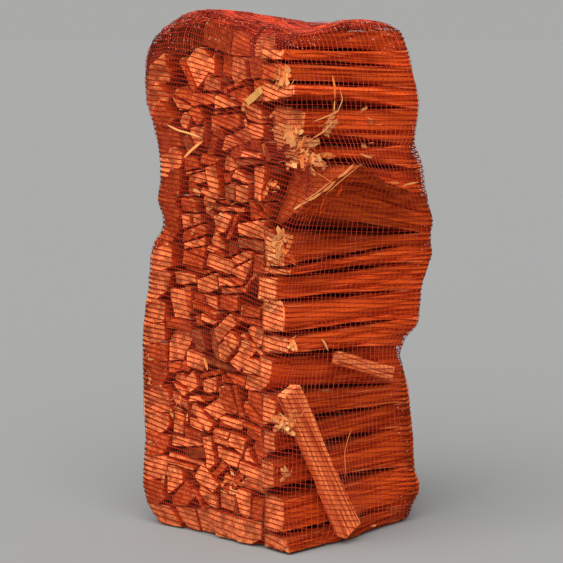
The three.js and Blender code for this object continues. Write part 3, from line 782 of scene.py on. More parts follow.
def pushApart(form, walls, right, sizes, axes, centres):
    count = len(sizes)
    reach = np.abs(np.einsum("iad,jbd->ijab", axes, axes))  # i's axes seen from j's
    own = sizes[:, None] + np.einsum("ijab,jb->ija", reach, sizes)
    other = sizes[None] + np.einsum("ijab,ia->ijb", reach, sizes)
    touching = np.concatenate([own, other], -1)
    everyAxis = np.concatenate([np.repeat(axes[:, None], count, 1), np.repeat(axes[None], count, 0)], 2)
    spreadX, spreadZ = (np.abs(axes[:, :, c] * sizes).sum(1) * form["soft"] for c in range(2))
    for _ in range(form["passes"]):
        apart = centres[None] - centres[:, None]
        alongOwn = np.einsum("ijd,iad->ija", apart, axes)
        alongOther = np.einsum("ijd,jbd->ijb", apart, axes)
        along = np.concatenate([alongOwn, alongOther], -1)
        depth = touching - np.abs(along)
        pick = depth.argmin(-1)[..., None]
        push = np.maximum(np.take_along_axis(depth, pick, -1)[..., 0], 0)
        sign = np.sign(np.take_along_axis(along, pick, -1)[..., 0])
        way = np.take_along_axis(everyAxis, pick[..., None].repeat(2, -1), 2)[:, :, 0]
        np.fill_diagonal(push, 0)
        centres = centres - form["push"] * (push[..., None] * sign[..., None] * way).sum(1)
        zi = np.clip(centres[:, 1].astype(int), 0, 559)
        xi = np.clip((centres[:, 0] + 140).astype(int), 0, 279)
        centres[:, 0] = np.clip(centres[:, 0], walls["left"][zi] + spreadX, right - spreadX)
        centres[:, 1] = np.clip(centres[:, 1], walls["bottom"][xi] + spreadZ, walls["top"][xi] - spreadZ)
    return centres


def layInner(form):
    walls, neighbours = innerWalls()
    right = form["rightWall"] - stackShift[0] / mm
    sizes, angle, centres = scatterBoxes(form, walls, right)
    axes, count = boxAxes(angle), len(sizes)
    centres = pushApart(form, walls, right, sizes, axes, centres)
    turned = np.array([[-1, -1], [1, -1], [1, 1], [-1, 1]])
    boxes, shapes = ([centres[k] + (turned * (sizes[k] + more)) @ axes[k] for k in range(count)]
                     for more in (0, form["grow"]))
    for a in range(count):
        shapes[a] = clipOutline(shapes[a], np.array([1.0, 0.0]), right)
        for b in range(a + 1, count):
            if np.abs(centres[a] - centres[b]).max() < form["near"]:
                direction, edges = partingLine(boxes[a], boxes[b])
                line, gap = sum(edges) / 2, rng.uniform(*form["gap"]) / 2
                shapes[a] = clipOutline(shapes[a], direction, line - gap)
                shapes[b] = clipOutline(shapes[b], -direction, -(line + gap))
        for fixed in neighbours:
            direction, edges = partingLine(boxes[a], fixed)
            shapes[a] = clipOutline(shapes[a], direction, edges[1] - form["gap"][0])
    return shapes


def outlineArea(outline):
    if len(outline) < 3:
        return 0.0
    x, z = outline.T
    return abs((x * np.roll(z, -1) - z * np.roll(x, -1)).sum()) / 2


def dropShort(outline, least):  # leaves out corners that lie close to the one before
    kept = [p for k, p in enumerate(outline) if np.linalg.norm(p - outline[k - 1]) > least]
    return np.array(kept)


def layHalves(shapes, form):  # some are split once more, and one half lies deeper
    laid = []
    for shape in shapes:
        if len(shape) < 3 or outlineArea(shape) < form["smallest"]:
            continue
        if rng.random() > form["halved"]:
            laid.append((shape, 0.0))
            continue
        angle = rng.uniform(0, math.pi)
        direction = np.array([math.cos(angle), math.sin(angle)])
        line = shape.mean(0) @ direction + rng.normal(0, 2)
        front = clipOutline(shape, direction, line - form["halfGap"])
        behind = clipOutline(shape, -direction, -(line + form["halfGap"]))
        laid += [(front, 0.0), (behind, rng.uniform(*form["halfBack"]))]
    return laid


def ringAt(outline, y):
    depth = np.full(len(outline), y - stackShift[1] / mm)
    return np.stack([outline[:, 0], depth, outline[:, 1]], -1) * mm


innerPile = Pile()
innerCount = 0
for number, (shape, deeper) in enumerate(layHalves(layInner(innerForm), innerForm)):
    shape = dropShort(shape, innerForm["shortest"]) if len(shape) else shape
    if len(shape) < 3 or outlineArea(shape) < innerForm["smallest"]:
        continue
    deep = rng.uniform(*innerForm["recess"]) if rng.random() < innerForm["recessed"] else deeper
    setBack = innerForm["crownBack"] if shape[:, 1].max() > innerForm["crownFrom"] else 0
    front = innerForm["front"] + deep + setBack + rng.random() * innerForm["scatter"]
    back = innerForm["back"] - rng.random() * innerForm["scatter"] - setBack
    small = shape.mean(0) + (shape - shape.mean(0)) * innerForm["taper"]
    weather = 0.9 if rng.random() < innerForm["weathered"] else 0.0
    cutStick(innerPile, [ringAt(shape, front), ringAt(small, back)], innerSeed + number, weather=weather,
             coarse=1.5, raw=0.5, openTo=(0, 0, 0))
    innerCount += 1
innerPiece = makePiece("split_inner_sticks", innerPile, splitWood)
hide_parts("inner_sticks")
print("inner sticks laid:", innerCount)


# the surface that the net lies on: rays from outside find the wood, and the net is drawn in between

woodTree = BVHTree.FromPolygons(np.concatenate(allWood["points"]).tolist(), allWood["faces"])
woodPoints = np.concatenate(allWood["points"])

skinForm = {
    "columns": 248, "outside": 30 * mm, "cornerRadius": 50 * mm, "leastRadius": 12 * mm,
    "baseRadius": 22 * mm, "shoulderRadius": 45 * mm, "shoulderFrom": 0.466, "sideStep": 3.6 * mm,
    "clear": 1.0 * mm, "passes": 420, "ease": 0.8, "draw": 0.02 * mm, "baseHeight": 0.8 * mm,
    "gatherTop": 0.5262, "gatherDip": 4 * mm, "gather": (0.22, 0.19), "window": (5, 4), "longest": 0.2,
}
drawForm = {
    "upright": (-50, 70), "spread": 0.06, "woodNear": 4 * mm, "spare": 0.8 * mm,
    "most": (-6 * mm, 24 * mm), "crownHalf": 0.15, "bin": 12 * mm, "bins": 25, "lift": 16 * mm,
    "liftFrom": (20, 40),
}


# along one rounded face: sideways, outwards, and the normal's two parts
def faceWalk(share, halfWidth, halfDepth, radius):
    straight = halfWidth - radius
    run = (share - 0.5) * 2 * (straight + radius * math.pi / 4)
    bend = np.clip((np.abs(run) - straight) / radius, 0, math.pi / 4)
    sign = np.sign(run)
    sideways = np.clip(run, -straight, straight) + sign * radius * np.sin(bend)
    return sideways, halfDepth - radius * (1 - np.cos(bend)), sign * np.sin(bend), np.cos(bend)


def drawSides(skin, profile, form):  # the net stands out from the wood as far as its outline shows
    count, rows = skin.shape[1], np.arange(len(profile))
    upright = (profile[:, 3] > form["upright"][0]) & (profile[:, 3] < form["upright"][1])
    for side in netReach:
        corner = 0 if side < 0 else count // 2
        apart = (np.arange(count) - corner + count // 2) % count - count // 2
        weight = np.exp(-((apart / (form["spread"] * count)) ** 2))
        seen, woodSeen = seenAcross(skin, side), seenAcross(woodPoints, side)
        best = np.where(np.abs(apart) < count // 10, seen, -1).argmax(1)
        edge, height = seen[rows, best], skin[rows, best, 2]
        lack = reachAt(side, height) - edge
        woodEdge = np.array([
            woodSeen[np.abs(woodPoints[:, 2] - z) < form["woodNear"]].max(initial=0) for z in height])
        spare = np.minimum(0, woodEdge + form["spare"] - edge)  # drawn in no further than the wood
        lack = np.clip(lack, np.maximum(spare, form["most"][0]), form["most"][1])
        lack = np.where(upright, lack, 0)
        for _ in range(2):
            lack = (np.roll(lack, 1) + 2 * lack + np.roll(lack, -1)) / 4
        skin = skin + side * cameraRight * (lack[:, None] * weight)[..., None]
    return skin


def liftCrown(skin, profile, form):  # and the crown as high
    table, count = np.array(crownOutline) * mm, form["bins"]
    seen = seenAcross(skin)
    spot = (seen + form["crownHalf"]) / form["bin"]
    bins = np.clip(spot.astype(int), 0, count - 1)
    height = [skin[..., 2][bins == k].max() if (bins == k).any() else 0 for k in range(count)]
    lack = np.interp(seen, table[:, 0], table[:, 1]) - np.interp(spot - 0.5, np.arange(count), height)
    start, span = form["liftFrom"]
    share = np.clip((profile[:, 3] - start) / span, 0, 1)[:, None]
    skin[..., 2] += np.clip(lack, 0, form["lift"]) * share
    return skin


def woodExtents():  # the stack's reach in x and y at each height, eased a little
    heights = np.arange(0.0, 0.56, 0.01)
    extents = []
    for z in heights:
        near = woodPoints[np.abs(woodPoints[:, 2] - np.clip(z, 0.02, 0.49)) < 0.022]
        extents.append([near[:, 0].min(), near[:, 0].max(), near[:, 1].min(), near[:, 1].max()])
    extents = np.array(extents)
    for _ in range(2):
        padded = np.concatenate([extents[:1], extents, extents[-1:]])
        extents = (padded[:-2] + 2 * padded[1:-1] + padded[2:]) / 4
    return heights, extents


# height for the extents, offset from them, height, tilt of the normal, share towards the gather
def layProfile(form):
    low, high, out = form["baseRadius"], form["shoulderRadius"], form["outside"]
    shoulder = form["shoulderFrom"]

    def bend(middle, radius, tilts):
        for a in np.radians(tilts):
            reach = radius + out
            yield middle, -radius + reach * math.cos(a), middle + reach * math.sin(a), math.degrees(a), 1

    profile = [(low, -low, -out, -90, rho) for rho in np.linspace(0.03, 0.94, 16)]
    profile += bend(low, low, np.linspace(-90, -9, 11))
    profile += [(z, out, z, 0, 1) for z in np.arange(low, shoulder, form["sideStep"])]
    profile += bend(shoulder, high, np.linspace(0, 90, 22))
    profile += [(shoulder, -high, shoulder + high + out, 90, rho) for rho in np.linspace(0.95, 0.03, 18)]
    return np.array(profile)


def outsideGrid(form, profile):  # where the rays start around the stack, and which way they go
    heights, extents = woodExtents()
    count, out, least = form["columns"], form["outside"], form["leastRadius"]
    around = np.arange(count) * 4 / count
    face, share = around.astype(int), around % 1
    tangents = np.array([[1, 0], [0, 1], [-1, 0], [0, -1]], float)[face]
    normals = np.array([[0, -1], [1, 0], [0, 1], [-1, 0]], float)[face]
    start = np.empty((len(profile), count, 3))
    inward = np.empty_like(start)
    for k, (zRef, offset, z, tilt, rho) in enumerate(profile):
        x0, x1, y0, y1 = [np.interp(zRef, heights, extents[:, c]) for c in range(4)]
        middle = np.array([(x0 + x1) / 2, (y0 + y1) / 2])
        half = np.array([(x1 - x0) / 2, (y1 - y0) / 2]) + offset
        width, depth = half[face % 2], half[1 - face % 2]
        radius = min(form["cornerRadius"] + offset - out, half.min() * 0.9) if offset > -out else least
        sideways, outwards, nSide, nOut = faceWalk(share, width, depth, max(radius, least))
        flat = tangents * sideways[:, None] + normals * outwards[:, None]
        start[k, :, :2] = middle + flat * rho
        start[k, :, 2] = z
        a = math.radians(tilt)
        inward[k, :, :2] = -(tangents * nSide[:, None] + normals * nOut[:, None]) * math.cos(a)
        inward[k, :, 2] = -math.sin(a)
    return start, inward


def rayLimits(form, start, inward):  # how far in each ray may go before it meets the wood
    reach = np.full(start.shape[:2], 0.10)
    for k, c in np.ndindex(reach.shape):
        hit = woodTree.ray_cast(Vector(start[k, c]), Vector(inward[k, c]), form["longest"])
        if hit[3] is not None:
            reach[k, c] = hit[3]
    return reach - form["clear"]


def rowsBeside(grid):  # each row's neighbours above and below
    return np.vstack([grid[1:], grid[-1:]]), np.vstack([grid[:1], grid[:-1]])


def drawIn(form, profile):  # the net tightens over the stack until it rests on the wood
    start, inward = outsideGrid(form, profile)
    limit = rayLimits(form, start, inward)
    depth = limit.copy()
    rows, cols = form["window"]
    for _ in range(rows):
        depth = np.minimum(depth, np.minimum(*rowsBeside(depth)))
    for _ in range(cols):
        depth = np.minimum(depth, np.minimum(np.roll(depth, 1, 1), np.roll(depth, -1, 1)))
    base = profile[:, 3] <= -89
    flatBase = form["outside"] + form["baseHeight"]
    for _ in range(form["passes"]):
        skin = start + inward * depth[..., None]
        up, down = rowsBeside(skin)
        mean = (np.roll(skin, 1, 1) + np.roll(skin, -1, 1) + up + down) / 4
        depth = depth + form["ease"] * ((mean - skin) * inward).sum(-1) + form["draw"]
        depth = np.minimum(depth, limit)
        depth[base] = np.minimum(flatBase, limit[base])
    skin = start + inward * depth[..., None]
    skin[..., 2] = np.maximum(skin[..., 2], form["baseHeight"])
    return skin


def buildSkin(form):
    profile = layProfile(form)
    skin = drawIn(form, profile)
    # the top is drawn together in a low bunch
    begin, span = form["gather"]
    rise = (np.clip((begin - profile[:, 4]) / span, 0, 1) * (profile[:, 3] >= 89))[:, None]
    skin[..., 2] = skin[..., 2] * (1 - rise) + (form["gatherTop"] - form["gatherDip"] * (1 - rise)) * rise
    skin = liftCrown(drawSides(skin, profile, drawForm), profile, drawForm)
    count = form["columns"]
    for k in range(len(profile)):  # columns at even distances along each face
        loop = np.concatenate([skin[k], skin[k, :1]])
        walked = np.concatenate([[0], np.cumsum(np.linalg.norm(np.diff(loop, axis=0), axis=-1))])
        marks = walked[(np.arange(5) * count) // 4]
        even = np.interp(np.arange(count) * 4 / count, np.arange(5), marks)
        skin[k] = np.stack([np.interp(even, walked, loop[:, c]) for c in range(3)], -1)
    length = np.concatenate([[0], np.cumsum(np.linalg.norm(np.diff(skin, axis=0), axis=-1).mean(1))])
    return skin, length, profile


skin, skinLength, skinProfile = buildSkin(skinForm)
across = np.roll(skin, -1, 1) - np.roll(skin, 1, 1)
upward = np.gradient(skin, axis=0)
skinNormal = unit(np.cross(across, upward))
print("net surface drawn in:", skin.shape[:2], "length", round(float(skinLength[-1]), 3))


def onSkin(grid, around, along):  # around from 0 to 4 faces, along in metres from the base gather
    rows = np.interp(along, skinLength, np.arange(len(skinLength)))
    cols = (np.asarray(around) % 4) * grid.shape[1] / 4
    r0 = np.clip(np.floor(rows).astype(int), 0, grid.shape[0] - 2)
    c0 = np.floor(cols).astype(int) % grid.shape[1]
    fr, fc = (rows - r0)[..., None], (cols - np.floor(cols))[..., None]
    c1 = (c0 + 1) % grid.shape[1]
    low = grid[r0, c0] * (1 - fc) + grid[r0, c1] * fc
    high = grid[r0 + 1, c0] * (1 - fc) + grid[r0 + 1, c1] * fc
    return low * (1 - fr) + high * fr


def strandOn(around, along, off, **more):  # a path over the net's surface
    normal = onSkin(skinNormal, around, along)
    return {"points": onSkin(skin, around, along) + normal * off, "outward": normal, **more}


def openAt(along):  # 1 on the sides, less towards the gathers
    return np.interp(along, skinLength, skinProfile[:, 4])


def tiltedFrom(tilt):  # how far along the surface begins to lean in by so much
    return float(skinLength[np.argmax(skinProfile[:, 3] > tilt)])


# strands: polylines given a flat section by one node tree

def makeStrandTree():
    tree = bpy.data.node_groups.new("strandTree", "GeometryNodeTree")
    face = tree.interface
    face.new_socket("Paths", in_out="INPUT", socket_type="NodeSocketGeometry")
    for name, value in (("Width", 0.001), ("Flatness", 0.5), ("Turn", 0.0)):
        face.new_socket(name, in_out="INPUT", socket_type="NodeSocketFloat").default_value = value
    face.new_socket("Sides", in_out="INPUT", socket_type="NodeSocketInt").default_value = 4
    face.new_socket("Finish", in_out="INPUT", socket_type="NodeSocketMaterial")
    face.new_socket("Strands", in_out="OUTPUT", socket_type="NodeSocketGeometry")
    start, end = tree.nodes.new("NodeGroupInput"), tree.nodes.new("NodeGroupOutput")
    curve = newNode(tree, "GeometryNodeMeshToCurve", {"Mesh": start.outputs["Paths"]})
    named = "GeometryNodeInputNamedAttribute"
    outward = newNode(tree, named, {"Name": "outward"}, data_type="FLOAT_VECTOR")
    facing = newNode(tree, "GeometryNodeSetCurveNormal", {"Curve": curve.outputs["Curve"]}, mode="FREE")
    tree.links.new(outward.outputs["Attribute"], facing.inputs["Normal"])
    weight = newNode(tree, named, {"Name": "thick"}, data_type="FLOAT")
    sized = newNode(tree, "GeometryNodeSetCurveRadius", {
        "Curve": facing.outputs["Curve"], "Radius": weight.outputs["Attribute"]})
    half = newNode(tree, "ShaderNodeMath", {0: start.outputs["Width"], 1: 0.5}, operation="MULTIPLY")
    ring = newNode(tree, "GeometryNodeCurvePrimitiveCircle", {
        "Resolution": start.outputs["Sides"], "Radius": half.outputs[0]})
    spin = newNode(tree, "ShaderNodeCombineXYZ", {0: 0.0, 1: 0.0, 2: start.outputs["Turn"]})
    squeeze = newNode(tree, "ShaderNodeCombineXYZ", {0: start.outputs["Flatness"], 1: 1.0, 2: 1.0})
    turned = newNode(tree, "GeometryNodeTransform", {
        "Geometry": ring.outputs["Curve"], "Rotation": spin.outputs[0]})
    section = newNode(tree, "GeometryNodeTransform", {
        "Geometry": turned.outputs["Geometry"], "Scale": squeeze.outputs[0]})
    tube = newNode(tree, "GeometryNodeCurveToMesh", {
        "Curve": sized.outputs["Curve"], "Profile Curve": section.outputs["Geometry"],
        "Fill Caps": True})
    if "Scale" in tube.inputs:
        tree.links.new(weight.outputs["Attribute"], tube.inputs["Scale"])
    solid = newNode(tree, "GeometryNodeRealizeInstances", {"Geometry": tube.outputs["Mesh"]})
    painted = newNode(tree, "GeometryNodeSetMaterial", {
        "Geometry": solid.outputs["Geometry"], "Material": start.outputs["Finish"]})
    tree.links.new(painted.outputs["Geometry"], end.inputs["Strands"])
    return tree


strandTree = makeStrandTree()


def bakeNodes(piece):  # the evaluated result as a plain mesh, without the modifier
    graph = bpy.context.evaluated_depsgraph_get()
    made = bpy.data.meshes.new_from_object(piece.evaluated_get(graph))
    piece.modifiers.clear()
    piece.data = made
    made.name = piece.name


def makeStrands(name, paths, width, flatness, sides, material, turn=0.0, flat=False):
    mesh = bpy.data.meshes.new(name)
    points = np.concatenate([p["points"] for p in paths])
    edges, at = [], 0
    for path in paths:
        n = len(path["points"])
        edges += [(at + k, at + k + 1) for k in range(n - 1)]
        if path.get("closed"):
            edges.append((at + n - 1, at))
        at += n
    mesh.from_pydata(points.tolist(), edges, [])
    outward = np.concatenate([p["outward"] for p in paths])
    thick = np.concatenate([np.broadcast_to(p.get("thick", 1.0), len(p["points"])) for p in paths])
    setValue(mesh, "outward", outward)
    setValue(mesh, "thick", thick)
    for key in paths[0].get("values", {}):
        setValue(mesh, key, np.concatenate([p["values"][key] for p in paths]))
    piece = newObject(name, mesh)
    modifier = piece.modifiers.new("strands", "NODES")
    modifier.node_group = strandTree
    sockets = {s.name: s.identifier for s in strandTree.interface.items_tree if s.in_out == "INPUT"}
    values = {"Width": width, "Flatness": flatness, "Turn": turn, "Sides": sides, "Finish": material}
    for key, value in values.items():
        modifier[sockets[key]] = value
    bakeNodes(piece)
    if flat:
        piece.data.shade_flat()
    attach(piece, "root")
    return piece


netForm = {
    "wales": 177, "courseStep": 5.3 * mm, "waleStep": 4.4 * mm, "waleWidth": 0.5 * mm,
    "courseWidth": 1.25 * mm, "waleFlat": 0.6, "courseFlat": 0.42, "sway": 0.05, "ripple": 2.6 * mm,
    "dropFront": (0.018, 0.028), "dropRight": (0.036, -0.030), "dropBack": -0.030,
    # from here on, faces walked from the front left corner, and a value at each
    "waleDensity": ((0, 0.08, 0.92, 1.12, 1.9, 2.1, 2.9, 3.1, 3.95, 4),
                    (52, 64, 64, 27, 27, 46, 46, 40, 40, 48)),
    "courseThick": ((0, 0.06, 0.2, 0.9, 1.15, 1.85, 2, 2.15, 3.9, 4),
                    (1.7, 1.2, 1, 1, 0.62, 0.62, 1.3, 0.8, 1.2, 1.7)),
    "waleThick": ((0, 0.08, 0.92, 1.12, 1.9, 2.1, 2.9, 3.1, 3.95, 4),
                  (1.0, 0.75, 0.75, 1.3, 1.3, 1.4, 1.4, 1.4, 1.2, 1.0)),
}


def spreadWales(form):  # denser on some faces, easing from one to the next
    shares, count = np.linspace(0, 4, 801), form["wales"]
    density = np.interp(shares, *form["waleDensity"])
    total = np.concatenate([[0], np.cumsum((density[1:] + density[:-1]) / 2 * np.diff(shares))])
    return np.interp((np.arange(count) + 0.5) * total[-1] / count, total, shares)


def swayAt(around, along):  # how far the wales wander sideways, in faces
    angle = np.asarray(around) * math.pi / 2
    return flatNoise(71, np.cos(angle) * 1.6, np.sin(angle) * 1.6, np.asarray(along) / 0.075)


def outlineShadeShare(around):  # how much painted shade a strand gets near the bundle's left and right outline corners
    apart = (np.asarray(around) + 1) % 2 - 1
    return 0.85 * np.exp(-((apart / 0.035) ** 2))


def courseDrop(around, along, form):  # courses run downhill round the front and right and climb behind
    z = np.clip((along - 0.1) / 0.5, 0, 1)
    share = around % 1
    front = form["dropFront"][0] + form["dropFront"][1] * z
    right = front + form["dropRight"][0] + form["dropRight"][1] * z
    back = right + form["dropBack"]
    face = (around % 4).astype(int)
    bow = 0.9 + 0.7 * z
    shapes = [front * share ** bow, front + (right - front) * share, right + (back - right) * share,
              back * (1 - share)]
    return np.choose(face, shapes)


netLength = float(skinLength[-1])
waleAlong = np.arange(4 * mm, netLength - 2 * mm, netForm["waleStep"])
near = openAt(waleAlong)
ridge = 0.45 * mm + 0.25 * mm * np.sin(waleAlong / netForm["courseStep"] * math.pi)
waleOff = np.where(near < 1, 0.2 * mm, ridge)[:, None]
walePaths = []
for around in spreadWales(netForm):
    lean = around + netForm["sway"] * swayAt(np.full_like(waleAlong, around), waleAlong) * near
    thick = np.interp(around, *netForm["waleThick"])
    walePaths.append(strandOn(lean, waleAlong, waleOff, thick=thick, values={"edge": outlineShadeShare(lean)}))
wales = makeStrands("net_wales", walePaths, netForm["waleWidth"], netForm["waleFlat"], 3, netWale)
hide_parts("net")

coursePaths = []
roundAbout = np.arange(0, 4, 4 / 176)
courseThick, courseOutlineShade = np.interp(roundAbout, *netForm["courseThick"]), outlineShadeShare(roundAbout)
for along in np.arange(20 * mm, netLength - 4 * mm, netForm["courseStep"]):
    near = openAt(along)
    ripple = flatNoise(72, roundAbout * 2.5, along / 0.05, 0)
    drop = courseDrop(roundAbout, along, netForm) * near
    wave = along - drop + netForm["ripple"] * ripple * near + 25 * mm
    wave = np.clip(wave, 4 * mm, netLength - 4 * mm)
    coursePaths.append(strandOn(
        roundAbout, wave, 0.15 * mm, closed=True, thick=courseThick, values={"edge": courseOutlineShade}))
courses = makeStrands(
    "net_courses", coursePaths, netForm["courseWidth"], netForm["courseFlat"], 4, netFilm)
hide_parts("net")
print("net knitted:", len(walePaths), "wales,", len(coursePaths), "courses")


# over the top the net is drawn together, and its strands lie close in folds

bunchForm = {
    "strands": 250, "cornered": 80, "corners": (0.05, 1.93), "loops": 22, "from": 56, "width": 1.35 * mm,
    "wander": 0.05, "lift": (-9 * mm, 1.6 * mm),
}


def layBunch(form):
    first = tiltedFrom(form["from"])
    paths = []
    for number in range(form["strands"]):
        cornered = number < form["cornered"]  # most folds lie over the two corners seen from the side
        around = rng.normal(form["corners"][number % 2], 0.16) % 4 if cornered else rng.uniform(0, 4)
        start = rng.uniform(-0.022, 0.03) if cornered else rng.uniform(0, 0.06)
        along = np.linspace(first + start, netLength - 3 * mm, 16)
        drift = flatNoise(81, along / 0.03, around * 9, 0)
        lean = around + form["wander"] * drift * openAt(along)
        paths.append(strandOn(lean, along, rng.uniform(*form["lift"]), thick=rng.uniform(0.6, 1.3)))
    for _ in range(form["loops"]):
        along = first + rng.uniform(0.005, 0.9) ** 0.8 * (netLength - first) * 0.55
        wave = along + 4 * mm * flatNoise(82, roundAbout * 2, along / 0.02, 0)
        lift, thick = rng.uniform(*form["lift"]), rng.uniform(0.7, 1.5)
        paths.append(strandOn(roundAbout, wave, lift, closed=True, thick=thick))
    return paths


bunch = makeStrands("net_bunch", layBunch(bunchForm), bunchForm["width"], 0.6, 3, netBunch)
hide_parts("net")

knotForm = {"crown": 280, "edges": 220, "size": 1.0 * mm, "tilt": (38, 80)}


def layGlintKnots(form):  # small thickened beads on the net along the crown and the outline; their pale colour is a painted glint
    paths = []
    low, high = (tiltedFrom(t) for t in form["tilt"])
    upright = tiltedFrom(-40), low
    for number in range(form["crown"] + form["edges"]):
        if number < form["crown"]:
            around, along = rng.uniform(0, 4), rng.uniform(low, high)
        else:
            around, along = rng.choice([0.0, 2.0]) + rng.normal(0, 0.05), rng.uniform(*upright)
        along = along + np.array([0, 0.5, 1.0]) * form["size"]
        thick = np.array([0.5, 1, 0.5]) * rng.uniform(0.8, 1.4)
        paths.append(strandOn(np.full(3, around), along, 0.5 * mm, thick=thick))
    return paths


knots = makeStrands("net_knot_glints", layGlintKnots(knotForm), knotForm["size"], 0.8, 4, netGlintKnot)
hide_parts("net")


# splinters, chips and fibres caught in the net

front, right = np.array([0.0, -1, 0]), np.array([1.0, 0, 0])


def toNet(point, facing, off=0.9 * mm):  # moves a measured place straight onto the net
    point = place(*point)
    flat = 1 - np.abs(facing)
    apart = (((skin - point) * flat) ** 2).sum(-1) + np.where((skinNormal @ facing) > 0.35, 0, 1)
    row, col = np.unravel_index(apart.argmin(), apart.shape)
    return point * flat + np.abs(facing) * skin[row, col] + facing * off


splinters = [  # width, the side of the stack, and places along each
    (8.0, front, [(46, 0, 447), (56, 0, 453), (67, 0, 460)]),
    (2.6, right, [(0, -36, 387), (0, -43, 379), (0, -50, 373)]),
    (3.0, right, [(0, -52, 371), (0, -58, 365), (0, -65, 360)]),
    (2.4, right, [(0, -66, 360), (0, -73, 355), (0, -80, 352)]),
    (2.0, right, [(0, -80, 352), (0, -88, 347), (0, -93, 344)]),
    (0.9, right, [(0, -32, 386), (0, -46, 371), (0, -60, 357)]),
    (1.0, right, [(0, -56, 371), (0, -70, 360), (0, -86, 351)]),
    (1.2, right, [(0, -27, 460), (0, -24, 449), (0, -32, 438), (0, -50, 433), (0, -68, 429)]),
    (1.4, right, [(0, -38, 430), (0, -55, 419), (0, -87, 404)]),
    (0.7, right, [(0, -54, 368), (0, -63, 375), (0, -75, 382)]),
    (2.8, right, [(0, -34, 473), (0, -35, 462), (0, -36, 450)]),
    (1.6, right, [(0, -36, 449), (0, -37, 443), (0, -38, 437)]),
    (2.0, front, [(-61, 0, 422), (-50, 0, 417), (-34, 0, 414), (-17, 0, 410)]),
    (3.0, front, [(-42, 0, 389), (-30, 0, 398), (-16, 0, 407)]),
    (3.6, front, [(-16, 0, 186), (-14, 0, 180), (-12, 0, 173)]),
    (2.2, front, [(-51, 0, 143), (-49, 0, 137)]),
    (2.6, right, [(0, 26, 8), (0, 31, 7), (0, 36, 7)]),
    (0.9, right, [(0, 5, 112), (0, -2, 103), (0, -12, 90), (0, -20, 66)]),
    (2.2, right, [(0, -46, 211), (0, -41, 206), (0, -36, 198)]),
    (2.4, right, [(0, -15, 396), (0, -6, 393), (0, 4, 391)]),
    (2.2, right, [(0, 31, 365), (0, 40, 364), (0, 48, 364)]),
    (2.0, right, [(0, 54, 360), (0, 70, 361), (0, 88, 362)]),
]
tufts = [  # middle, side, spread, count, length, lie
    ((84, 0, 416), front, 13, 30, 12, 0.3), ((98, 0, 393), front, 9, 26, 11, 0.5),
    ((0, -84, 408), right, 13, 34, 13, 0.7), ((0, -66, 390), right, 10, 26, 12, -0.4),
    ((84, 0, 300), front, 13, 30, 12, -0.5), ((0, -98, 312), right, 9, 24, 12, 0.4),
    ((90, 0, 131), front, 11, 34, 11, 0.2), ((0, -90, 136), right, 8, 14, 10, 0.9),
    ((95, 0, 470), front, 8, 26, 11, 0.9), ((70, 0, 365), front, 9, 12, 9, 0.7),
    ((78, 0, 252), front, 9, 14, 9, 0.1), ((100, 0, 212), front, 6, 12, 8, -0.3),
    ((40, 0, 206), front, 7, 8, 8, 0.4), ((0, -90, 82), right, 7, 8, 10, 1.2),
    ((-55, 0, 130), front, 12, 9, 7, 0.5), ((-70, 0, 60), front, 16, 10, 8, 0.8),
    ((20, 0, 60), front, 20, 14, 8, -0.6), ((0, 20, 420), right, 30, 8, 9, 0.1),
    ((60, 0, 440), front, 40, 14, 8, 0.4), ((0, 0, 330), front, 40, 12, 8, 0.2),
    ((0, -45, 428), right, 10, 12, 14, 0.5), ((-98, 0, 178), front, 5, 7, 7, 1.1),
    ((-97, 0, 152), front, 5, 7, 7, 1.2), ((-98, 0, 88), front, 5, 8, 8, 1.3),
]
frayed = [  # red fibres torn from the block's edge
    ((0, -60, 348), right, 8, 16, 13, 0.9), ((0, -76, 340), right, 7, 14, 12, 0.8),
    ((0, -46, 362), right, 6, 10, 12, 0.9), ((0, -88, 400), right, 12, 14, 14, 0.6),
    ((96, 0, 300), front, 12, 12, 12, -0.4),
]


def woodValues(count, tone):
    places = rng.uniform(0, 5), np.linspace(0, 0.02, count), rng.uniform(0, 5)
    grain = np.stack(np.broadcast_arrays(*places), -1)
    plain = {key: np.zeros(count) for key in ("endFace", "raw", "weather")}
    return {"tone": np.full(count, tone), "grain": grain, **plain}


chipWidth = 5  # anything broader is a chip with square ends


def laySplinters():
    paths = []
    for width, facing, places in splinters:
        spots = np.array([toNet(p, facing) for p in places])
        fine = np.linspace(0, len(spots) - 1, 3 * len(spots))
        points = np.stack([np.interp(fine, np.arange(len(spots)), spots[:, c]) for c in range(3)], -1)
        taper = np.clip(np.minimum(fine + 0.1, len(spots) - 0.95 - fine) * 2, 0.12, 1)
        values = woodValues(len(points), rng.uniform(0.9, 1.1))
        if width > chipWidth:  # the straw chip is the yellowest
            taper = np.ones(len(fine))
            values["endFace"] += 1
            values["tone"] *= 1.75
        outward = np.tile(facing, (len(points), 1))
        paths.append({"points": points, "outward": outward, "thick": taper * width, "values": values})
    return paths


